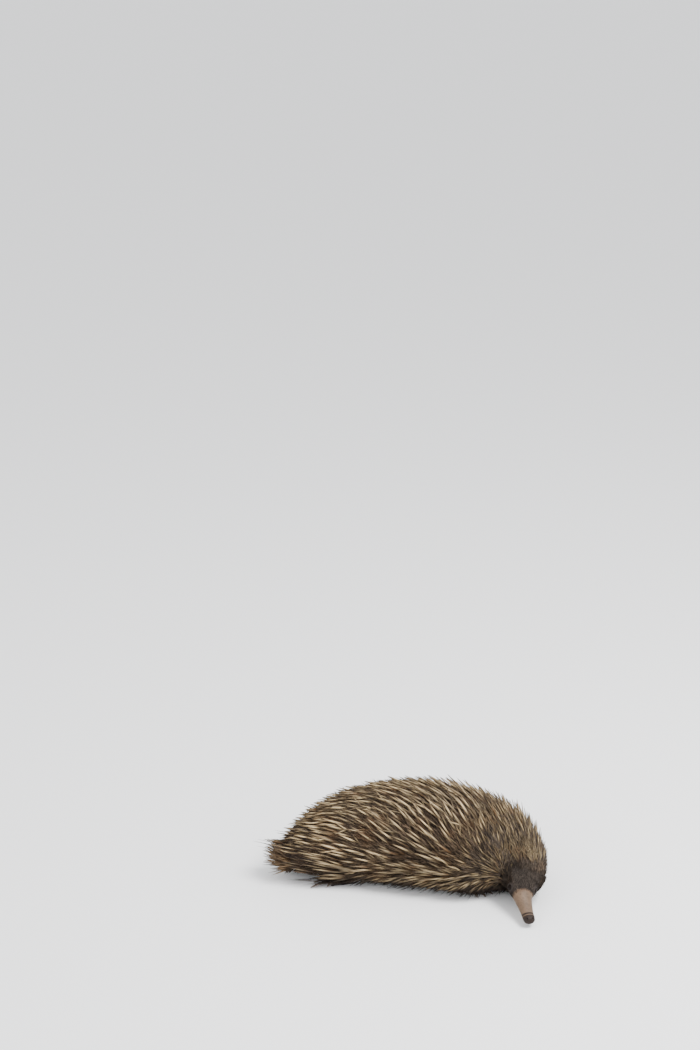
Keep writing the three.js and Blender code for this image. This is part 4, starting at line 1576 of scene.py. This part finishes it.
@dataclass
class FurCoat:
    """The fur of one stretch of the body, in thin tufts, of which some are finer and some are thick locks.

    Attributes:
        form: The body's surface.
        name: The piece's name.
        count: How many tufts.
        t_range: First and last t.
        turn_range: First and last turn, in degrees.
        finish: Its finish.
        length: The tufts' length, by place.
        lift: How far they stand off the skin, in degrees.
        radius: Range of the tufts' radius.
        droop: How far they hang towards the floor.
        sunk: How deep the roots lie in the skin.
        fine: Share of finer tufts.
        locks: Share of locks.
        shade: Painted light and shade by place, as brightness, or None for an even one.
        weight: Where they grow more densely, or None.
        seed: Start of the random numbers.
        thin: Length and radius of a finer tuft beside the rest.
        lock: Radius of a lock beside the rest.
    """

    form: BodyForm
    name: str
    count: int
    t_range: Span
    turn_range: Span
    finish: Hair
    length: Rule
    lift: float
    radius: Span = (0.35, 0.6)
    droop: float = 0.25
    sunk: float = 1.2
    fine: float = 0.22
    locks: float = 0.14
    shade: Rule | None = None
    weight: Rule | None = None
    seed: int = 1
    thin: Span = (1.25, 0.5)
    lock: float = 1.7

    def strands(self) -> Strands:
        """Roots on the skin, and tips that lean back along the lie and droop towards the floor.

        Returns:
            The tufts.
        """
        form, count = self.form, self.count
        rng = np.random.default_rng(self.seed)
        t, turn = form.scatter(count, self.t_range, self.turn_range, self.weight, self.seed)
        t = t + rng.normal(0, 0.01, count)
        turn = turn + rng.normal(0, 0.01, count)
        ahead, round_, normal = form.frame(t, turn)
        toward = np.where(np.cos(turn) > 0, 1.0, -1.0)[:, None]
        lie = (form.lie(turn) + rng.normal(0, 0.22, count))[:, None]
        way = -ahead * np.cos(lie) + round_ * toward * np.sin(lie)
        rump = 0.6 * form.rear(t)[:, None]
        way = unit(way * (1 - rump) + RUMP_WAY * rump)
        kind = rng.uniform(0, 1, count)
        thin, lock = kind < self.fine, kind > 1 - self.locks
        length = self.length(t, turn) * rng.uniform(0.7, 1.2, count) * np.where(thin, self.thin[0], 1.0)
        half = (length * 0.5)[:, None]
        lift = (math.radians(self.lift) * rng.uniform(0.6, 1.4, count))[:, None]
        side = np.cross(way, normal) * rng.normal(0, 0.12, count)[:, None]
        root = form.point(t, turn) - self.sunk * normal
        start = unit(way * np.cos(lift * 1.5) + normal * np.sin(lift * 1.5) + side)
        droop = UP * self.droop * 0.4 * (1 - rump)
        finish = unit(way * np.cos(lift * 0.7) + normal * np.sin(lift * 0.7) - side - droop)
        bend = root + start * half
        tip = bend + finish * half
        bend[:, 2] = np.maximum(bend[:, 2], 1.2)
        tip[:, 2] = np.maximum(tip[:, 2], rng.uniform(0.6, 3.0, count))
        thick = np.where(thin, self.thin[1], np.where(lock, self.lock, 1.0))
        radius = rng.uniform(*self.radius, count) * thick
        tone = np.where(thin, rng.uniform(0.55, 1.0, count), rng.uniform(0.0, 1.0, count) ** 2.2)
        pale_lock = kind > 1 - 0.4 * self.locks
        tone = np.where(lock, np.where(pale_lock, rng.uniform(0.6, 1.0, count), 0.0), tone)
        # Painted light and shade on the tufts' tone.
        if self.shade is not None:
            tone = tone * self.shade(t, turn)
        return Strands(root, bend, tip, radius, form.unwrap(t, turn), tone)


@dataclass
class ShortFur:
    """Short fur on a mesh of its own, a leg or an ear, which follows a direction given at each place."""

    name: str
    count: int
    band: int
    length: Callable[[Array], Array]
    way: Callable[[Array], Array]
    middle: Array
    tone: float = 0.7
    lowest: float = 1.2
    radius: Span = (0.2, 0.36)

    def strands(self, data: MeshData) -> Strands:
        """Tufts scattered over the mesh by area.

        Args:
            data: The mesh that carries the fur.

        Returns:
            The tufts.
        """
        rng = np.random.default_rng(70 + self.band)
        corners = data.points[data.triangles]
        cross = np.cross(corners[:, 1] - corners[:, 0], corners[:, 2] - corners[:, 0])
        area = np.linalg.norm(cross, axis=1) * (corners[:, 0, 2] > self.lowest)
        pick = rng.choice(len(area), self.count, p=area / area.sum())
        spot = (corners[pick] * rng.dirichlet((1, 1, 1), self.count)[..., None]).sum(axis=1)
        normal = unit(cross[pick])
        way = unit(self.way(spot) + rng.normal(0, 0.18, (self.count, 3)))
        way = unit(way - normal * (way * normal).sum(axis=1, keepdims=True))
        length = self.length(spot) * rng.uniform(0.7, 1.25, self.count)
        half = (length * 0.5)[:, None]
        bend = spot + unit(way + 0.5 * normal) * half
        tip = bend + unit(way + 0.1 * normal) * half
        tip[:, 2] = np.maximum(tip[:, 2], 0.6)
        away = spot - self.middle
        angle = np.arctan2(away[:, 1], away[:, 0]) / (2 * np.pi) + 0.5
        across, high = 0.02 + 0.16 * self.band + 0.14 * angle, 0.86 + 0.12 * spot[:, 2] / 45
        tone = rng.uniform(0, self.tone, self.count)
        radius = rng.uniform(*self.radius, self.count)
        return Strands(spot - 0.4 * normal, bend, tip, radius, np.stack([across, high], axis=-1), tone)


@dataclass
class TailTuft:
    """Spines or hair that fan out from the end of the tail's stub, set by the golden angle."""

    form: BodyForm
    name: str
    count: int
    length: float
    thick: float
    fan: float
    tone: float
    seed: int

    def strands(self) -> Strands:
        """Roots inside the stub, the outer ones further forward, and tips behind it.

        Each stands one golden angle further round than the last, at the root of its number over their count
        from the middle.

        Returns:
            The spines or tufts.
        """
        at, count = np.array(TRUNK_FROM), self.count
        ahead, left, up = self.form.axes(at)
        rise = float(self.form.row("rise", at))
        rng = np.random.default_rng(self.seed)
        number = np.arange(count)
        turn = number * np.radians(GOLDEN_ANGLE)
        share = np.sqrt((number + 0.5) / count)
        out = np.cos(turn)[:, None] * left + np.sin(turn)[:, None] * up
        loose = rng.normal(0, 0.13, (count, 3))
        way = unit(RUMP_WAY + out * (self.fan * share)[:, None] + loose + UP * 0.12)
        depth = self.form.tail_length * (0.8 - 0.6 * share)
        root = self.form.line(at) - ahead * depth[:, None] + out * (share * rise * 0.75)[:, None]
        tip = root + way * (self.length * rng.uniform(0.75, 1.15, count))[:, None]
        tip[:, 2] = np.maximum(tip[:, 2], 2.0)
        bend = (root + tip) / 2 + rng.normal(0, 0.5, (count, 3))
        spot = self.form.unwrap(np.full(count, 0.12), turn)
        radius = self.thick * rng.uniform(0.8, 1.15, count)
        tone = rng.uniform(0, self.tone, count)
        warm = np.clip(0.35 + rng.normal(0, 0.3, count), 0, 1)
        return Strands(root, bend, tip, radius, spot, tone, warm)


@dataclass(frozen=True)
class Growth:
    """Rules of t and turn for the coat: how long fur is, how bright it is under painted light and shade, and
    where fur and spines grow.
    """

    form: BodyForm
    skin: Skin

    def long(self, base: float, more: float, t: Array, turn: Array) -> Array:
        """Length of the trunk's fur: base, and more underneath, but less over the rump."""
        return (base + more * smooth(-np.sin(turn), 0.0, 0.5)) * (1 - 0.55 * self.form.rear(t))

    def hem(self, t: Array, turn: Array) -> Array:
        """Length of the skirt's fur, which is under half of it at the rump."""
        return 15.0 * (0.45 + 0.55 * smooth(t, 0.5, 2.3))

    def neck(self, t: Array, turn: Array) -> Array:
        """Length of the neck's fur, which falls by about half towards the face."""
        return 18.0 - 9.5 * smooth(t, 6.6, 8.3)

    def nap(self, t: Array, turn: Array) -> Array:
        """Length of the face's nap: shorter towards the beak, and longer at the sides of the head."""
        return 6.2 - 3.0 * smooth(t, 8.3, 9.5) + 1.6 * np.cos(turn) ** 2 * (1 - smooth(t, 8.6, 9.1))

    def edge(self, t: Array, turn: Array) -> Array:
        """Painted shade on the back's fur: its brightness falls by more than half at its lower edge."""
        return 1 - 0.6 * smooth(-np.sin(turn), -0.1, 0.3)

    def low(self, t: Array, turn: Array) -> Array:
        """Painted shade: brightness that falls nearly to nothing under the flanks."""
        return 1 - 0.93 * smooth(-np.sin(turn), 0.1, 0.45)

    def dim(self, t: Array, turn: Array) -> Array:
        """Painted shade on the neck's fur: its brightness falls under the flanks, towards the face, and most
        on the shaded right.
        """
        ruff = smooth(self.form.beyond_neck(t, turn), -0.75, -0.2)
        return self.low(t, turn) * (1 - ruff * (0.3 + 0.6 * smooth(-np.cos(turn), -0.1, 0.5)))

    def crown_light(self, t: Array, turn: Array) -> Array:
        """Painted light and shade on the face's nap: full brightness on top of the head, under a third at its
        sides.
        """
        return 0.3 + 0.7 * smooth(np.sin(turn), 0.1, 0.8)

    def behind(self, t: Array, turn: Array) -> Array:
        """The neck's fur grows up to the neck's edge."""
        return 1 - smooth(self.form.beyond_neck(t, turn), -0.1, 0.06)

    def sides(self, t: Array, turn: Array) -> Array:
        """The neck's finer spines end a little behind that edge."""
        return 1 - smooth(self.form.beyond_neck(t, turn), -0.4, -0.14)

    def forward(self, t: Array, turn: Array) -> Array:
        """The skirt's spines stand about a third as densely on the rear half."""
        return 0.35 + 0.65 * smooth(t, 3.5, 5.5)

    def face(self, t: Array, turn: Array) -> Array:
        """The nap grows from the neck's edge to the bare beak, but not on the eyes.

        Args:
            t: Places counted in sections.
            turn: Angles round the section.

        Returns:
            How densely it grows there.
        """
        clear = []
        for side in Side:
            centre, ahead, _, normal = self.skin.eye(side)
            away = self.form.point(t, turn) - (centre + normal * self.skin.eye_sunk + ahead * 1.1)
            clear.append(smooth(np.linalg.norm(away, axis=-1), 3.3, 4.1))
        grown = (1 - smooth(self.form.beyond_fur(t, turn), -0.32, 0.3)) * np.minimum(*clear)
        return grown * smooth(self.form.beyond_neck(t, turn), -0.42, -0.2)

    def front(self, t: Array, turn: Array) -> Array:
        """The brown part of the nap, outside the painted shade round the eyes."""
        return self.face(t, turn) * (1 - self.form.cheek(t, turn))

    def eye_shade_nap(self, t: Array, turn: Array) -> Array:
        """The nap of the painted shade round the eyes."""
        return self.face(t, turn) * self.form.cheek(t, turn)

    def by_floor(self, spot: Array) -> Array:
        """How near places are to the floor: 1 up to 4 millimetres over it, 0 from 14 on."""
        return smooth(14 - spot[:, 2], 0, 10)

    def leg_length(self, spot: Array) -> Array:
        """Length of a leg's fur, which falls by half at the foot."""
        return 6.0 - 3.0 * self.by_floor(spot)

    def leg_way(self, toes: Array, spot: Array) -> Array:
        """The way of a leg's fur: down, and on the foot along the toes."""
        low = self.by_floor(spot)
        return toes * low[:, None] * 1.2 - UP * (1.1 - low)[:, None]

    def ear_length(self, spot: Array) -> Array:
        """Length of an ear's fur, the same all over."""
        return np.full(len(spot), 3.6)

    def ear_way(self, side: Side, spot: Array) -> Array:
        """The way of an ear's fur: back along the head."""
        turn = np.radians(12 if side is Side.LEFT else 168)
        return -self.form.frame(np.array(EAR_AT), turn)[0] + 0 * spot


@dataclass
class Coat:
    """All the fur and all the spines."""

    form: BodyForm
    legs: list[Leg]
    nodes: dict[str, bpy.types.Object]
    rules: Growth
    made: dict[str, bpy.types.Material] = field(default_factory=dict)

    def finish(self, kind: SpineKeratin | Hair) -> bpy.types.Material:
        """A finish's material, made at its first use.

        Args:
            kind: The finish.

        Returns:
            The material.
        """
        if kind.name not in self.made:
            self.made[kind.name] = kind.material()
        return self.made[kind.name]

    def stout_spines(self, shop: Workshop) -> None:
        """Builds the thick spines of trunk and neck on the lines of the solid ones.

        Args:
            shop: Where pieces are made.
        """
        for node, name, warm, thick, tone, seed in (
            ("torso", "spines_trunk", 0.05, 0.86, (0.2, 1.3), 31),
            ("neck", "spines_neck", 0.3, 0.7, (0.05, 0.95), 32),
        ):
            spines = StoutSpines(self.form, self.nodes[node], shop.shift, name, warm, thick, tone, seed)
            spines.strands().build(shop, name, Rod.SPINE, self.finish(KERATIN))

    def spines(self, shop: Workshop) -> None:
        """Builds the thinner spines: on back, neck and cheeks, in the skirt and at the rump.

        Args:
            shop: Where pieces are made.
        """
        form, rules, end = self.form, self.rules, NECK_FROM - 0.05
        back = partial(SpineCoat, form, turn_range=(-30.0, 210.0))
        skirt = partial(SpineCoat, form, count=210, t_range=(1.3, HEAD_FROM - 0.4), radius=(0.75, 1.3),
                        length=0.85, height=(0.7, 1.0), warm=-0.1, tone=0.7, jitter=0.26,
                        lowest=(8.0, 15.0), weight=rules.forward)
        hem = partial(SpineCoat, form, count=240, t_range=(1.3, HEAD_FROM - 0.1), finish=DARK_SPINE,
                      radius=(0.4, 0.7), length=0.6, lowest=(0.8, 2.5))
        for coat in (
            back("spines_between", 900, (0.35, end), radius=(0.5, 0.85), length=0.85, height=(0.55, 0.95),
                 warm=0.45, tone=0.4, jitter=0.28, seed=2),
            back("spines_stray", 110, (1.2, end), radius=(0.65, 1.05), length=0.72, height=(0.9, 1.1),
                 tone=1.0, jitter=0.5, seed=9),
            SpineCoat(form, "spines_nape", 420, (end, HEAD_FROM + 0.3), (-50.0, 230.0), height=(0.6, 0.95),
                      sunk=3.0, weight=rules.sides, warm=0.5, tone=0.4, jitter=0.26, seed=3),
            SpineCoat(form, "spines_cheek", 260, (HEAD_FROM - 0.1, HEAD_FROM + 1.0), (-45.0, 225.0),
                      radius=(0.4, 0.8), length=1.5, height=(0.8, 1.2), lift=1.0, sunk=1.5, warm=0.4,
                      tone=0.42, weight=rules.sides, seed=6),
            skirt("spines_skirt_left", turn_range=(-38.0, -4.0), seed=4),
            skirt("spines_skirt_right", turn_range=(184.0, 218.0), seed=5),
            hem("spines_hem_left", turn_range=(-62.0, -24.0), seed=7),
            hem("spines_hem_right", turn_range=(204.0, 242.0), seed=8),
            SpineCoat(form, "spines_rump", 90, (0.5, 1.6), (0.0, 180.0), DARK_SPINE, radius=(0.3, 0.5),
                      height=(0.9, 1.3), lift=2.0, jitter=0.35, seed=10),
        ):
            coat.strands().build(shop, coat.name, Rod.SPINE, self.finish(coat.finish))

    def fur(self, shop: Workshop) -> None:
        """Builds the fur of trunk, neck and head.

        Args:
            shop: Where pieces are made.
        """
        form, rules = self.form, self.rules
        back = partial(FurCoat, form, turn_range=(-20.0, 200.0), finish=BROWN, lift=28, shade=rules.edge)
        skirt = partial(FurCoat, form, count=6000, t_range=(0.6, 7.6), finish=BROWN, length=rules.hem,
                        lift=22, droop=0.8, shade=rules.low)
        # The hem's fur, near black as painted shade under the flanks.
        hem = partial(FurCoat, form, count=6800, t_range=(0.28, 8.3), finish=UNDER_SHADE,
                      length=partial(rules.long, 18, 0), lift=20, droop=0.9, fine=0.08)
        nap = partial(FurCoat, form, t_range=(7.85, 10.1), turn_range=(0.0, 360.0), length=rules.nap, lift=12,
                      radius=(0.2, 0.36), droop=0.0, sunk=0.35)
        for coat in (
            back("fur_back_rear", 19000, (0.26, 3.2), length=partial(rules.long, 18, 3), seed=11),
            back("fur_back_front", 19500, (3.2, 6.6), length=partial(rules.long, 19, 3), seed=12),
            FurCoat(form, "fur_neck", 19000, (6.55, 9.1), (-60.0, 240.0), NECK, rules.neck, 27,
                    weight=rules.behind, shade=rules.dim, seed=13),
            skirt("fur_skirt_left", turn_range=(-36.0, -14.0), seed=14),
            skirt("fur_skirt_right", turn_range=(194.0, 216.0), seed=15),
            # The throat's hanging hair, near black as painted shade under the head.
            FurCoat(form, "fur_throat", 3500, (7.0, 8.95), (222.0, 318.0), UNDER_SHADE,
                    partial(rules.long, 9, 5), 20, droop=1.6, fine=0.08, seed=20),
            FurCoat(form, "fur_belly", 5000, (0.3, 8.6), (250.0, 290.0), UNDER_SHADE,
                    partial(rules.long, 6, 2), 12, droop=0.0, seed=16),
            hem("fur_hem_left", turn_range=(-76.0, -32.0), seed=18),
            hem("fur_hem_right", turn_range=(212.0, 256.0), seed=19),
            nap("fur_face", 14500, finish=FACE, fine=0.3, shade=rules.crown_light, weight=rules.front, seed=17),
            # Near-black nap that paints the shade round the eyes.
            nap("fur_cheeks", 5500, finish=UNDER_SHADE, fine=0.1, weight=rules.eye_shade_nap, seed=21),
        ):
            coat.strands().build(shop, coat.name, Rod.TUFT, self.finish(coat.finish))

    def short_fur(self, shop: Workshop, limbs: dict[str, MeshData]) -> None:
        """Builds the short fur of legs and ears.

        Args:
            shop: Where pieces are made.
            limbs: The own mesh of each leg and ear.
        """
        rules, coats = self.rules, []
        for band, leg in enumerate(self.legs):
            way = partial(rules.leg_way, leg.heading(self.form, leg.point))
            coats.append(ShortFur(leg.name, 3000, band, rules.leg_length, way, leg.foot(self.form)))
        for band, side in enumerate(Side, len(self.legs)):
            name = ear_name(side)
            way, middle = partial(rules.ear_way, side), limbs[name].points.mean(axis=0)
            coats.append(ShortFur(name, 900, band, rules.ear_length, way, middle, 0.3))
        for coat in coats:
            strands = coat.strands(limbs[coat.name])
            strands.build(shop, f"fur_{coat.name}", Rod.TUFT, self.finish(FACE))

    def tail(self, shop: Workshop) -> None:
        """Builds the tail's tuft of spines and its fur.

        Args:
            shop: Where pieces are made.
        """
        spines = TailTuft(self.form, "tail_spines", 100, 29.0, 0.75, 0.6, 0.9, 21)
        spines.strands().build(shop, spines.name, Rod.SPINE, self.finish(TAIL_KERATIN))
        fur = TailTuft(self.form, "tail_fur", 2600, 13.0, 0.42, 0.7, 0.45, 22)
        fur.strands().build(shop, fur.name, Rod.TUFT, self.finish(BROWN))

    def build(self, shop: Workshop, limbs: dict[str, MeshData]) -> None:
        """Builds the whole coat.

        Args:
            shop: Where pieces are made.
            limbs: The own mesh of each leg and ear.
        """
        self.stout_spines(shop)
        self.spines(shop)
        self.fur(shop)
        self.short_fur(shop, limbs)
        self.tail(shop)


@dataclass
class Studio:
    """Camera, floor and soft light."""

    shift: Array
    camera_at: tuple[float, float, float] = (-74.7, -2458.7, 1289.0)
    pitch: float = 18.5
    lens: float = 75.43
    sensor: float = 36.0
    floor_half: float = 40.0
    aim: tuple[float, float, float] = (0.0, 0.0, 0.05)
    sky: Colour = (0.97, 0.98, 1.0)
    sky_strength: float = 1.5

    def camera(self) -> None:
        """Puts the camera where the photo's was."""
        data = bpy.data.cameras.new("camera")
        data.lens = self.lens
        data.sensor_width = self.sensor
        data.clip_start, data.clip_end = 0.1, 100.0
        camera = bpy.data.objects.new("camera", data)
        camera.location = (np.array(self.camera_at) + self.shift) * MM
        camera.rotation_euler = (math.radians(90 - self.pitch), 0.0, 0.0)
        bpy.context.scene.collection.objects.link(camera)
        bpy.context.scene.camera = camera

    def floor(self) -> None:
        """Lays the pale floor."""
        mesh = bpy.data.meshes.new("floor")
        half = self.floor_half
        corners = [(-half, -half, 0), (half, -half, 0), (half, half, 0), (-half, half, 0)]
        mesh.from_pydata(corners, [], [(0, 1, 2, 3)])
        mesh.materials.append(StudioFloor().material())
        floor = bpy.data.objects.new("floor", mesh)
        bpy.context.scene.collection.objects.link(floor)

    def lamp(self, name: str, at: tuple[float, float, float], size: float, watts: float) -> None:
        """One square soft light that looks at the animal.

        Args:
            name: The lamp's name.
            at: Its place in metres.
            size: Its side in metres.
            watts: Its power.
        """
        data = bpy.data.lights.new(name, "AREA")
        data.size, data.energy = size, watts
        lamp = bpy.data.objects.new(name, data)
        lamp.location = at
        lamp.rotation_mode = "QUATERNION"
        lamp.rotation_quaternion = (Vector(self.aim) - Vector(at)).to_track_quat("-Z", "Y")
        bpy.context.scene.collection.objects.link(lamp)

    def build(self) -> None:
        """Builds camera, floor, lamps and the sky's even light."""
        self.camera()
        self.floor()
        self.lamp("key", (1.0, -0.5, 1.9), 1.0, 78.0)
        self.lamp("fill", (-1.5, -1.6, 1.2), 1.6, 16.0)
        world = bpy.data.worlds.new("studio")
        world.use_nodes = True
        background = world.node_tree.nodes["Background"]
        background.inputs["Color"].default_value = (*self.sky, 1.0)
        background.inputs["Strength"].default_value = self.sky_strength
        bpy.context.scene.world = world


def main() -> None:
    """Builds skin, eyes, claws and coat on the frame, in this order, and the studio round the animal."""
    logging.basicConfig(level=logging.INFO, format="%(message)s")
    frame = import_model()
    form = BodyForm()
    legs = make_legs()
    low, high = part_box("eye_left")
    skin = Skin(form, legs)
    shift = (np.array(low) + np.array(high)) / 2 / MM - skin.eye(Side.LEFT)[0]
    shift[2] = 0.0
    LOG.info("shift %s", shift)
    shop = Workshop(shift)
    limbs = skin.build(shop)
    skin.build_eyes(shop)
    Claws(form, legs).build(shop)
    Coat(form, legs, frame["nodes"], Growth(form, skin)).build(shop, limbs)
    Studio(shift).build()
    LOG.info("%d pieces", len(shop.made))


if __name__ == "__main__":
    main()
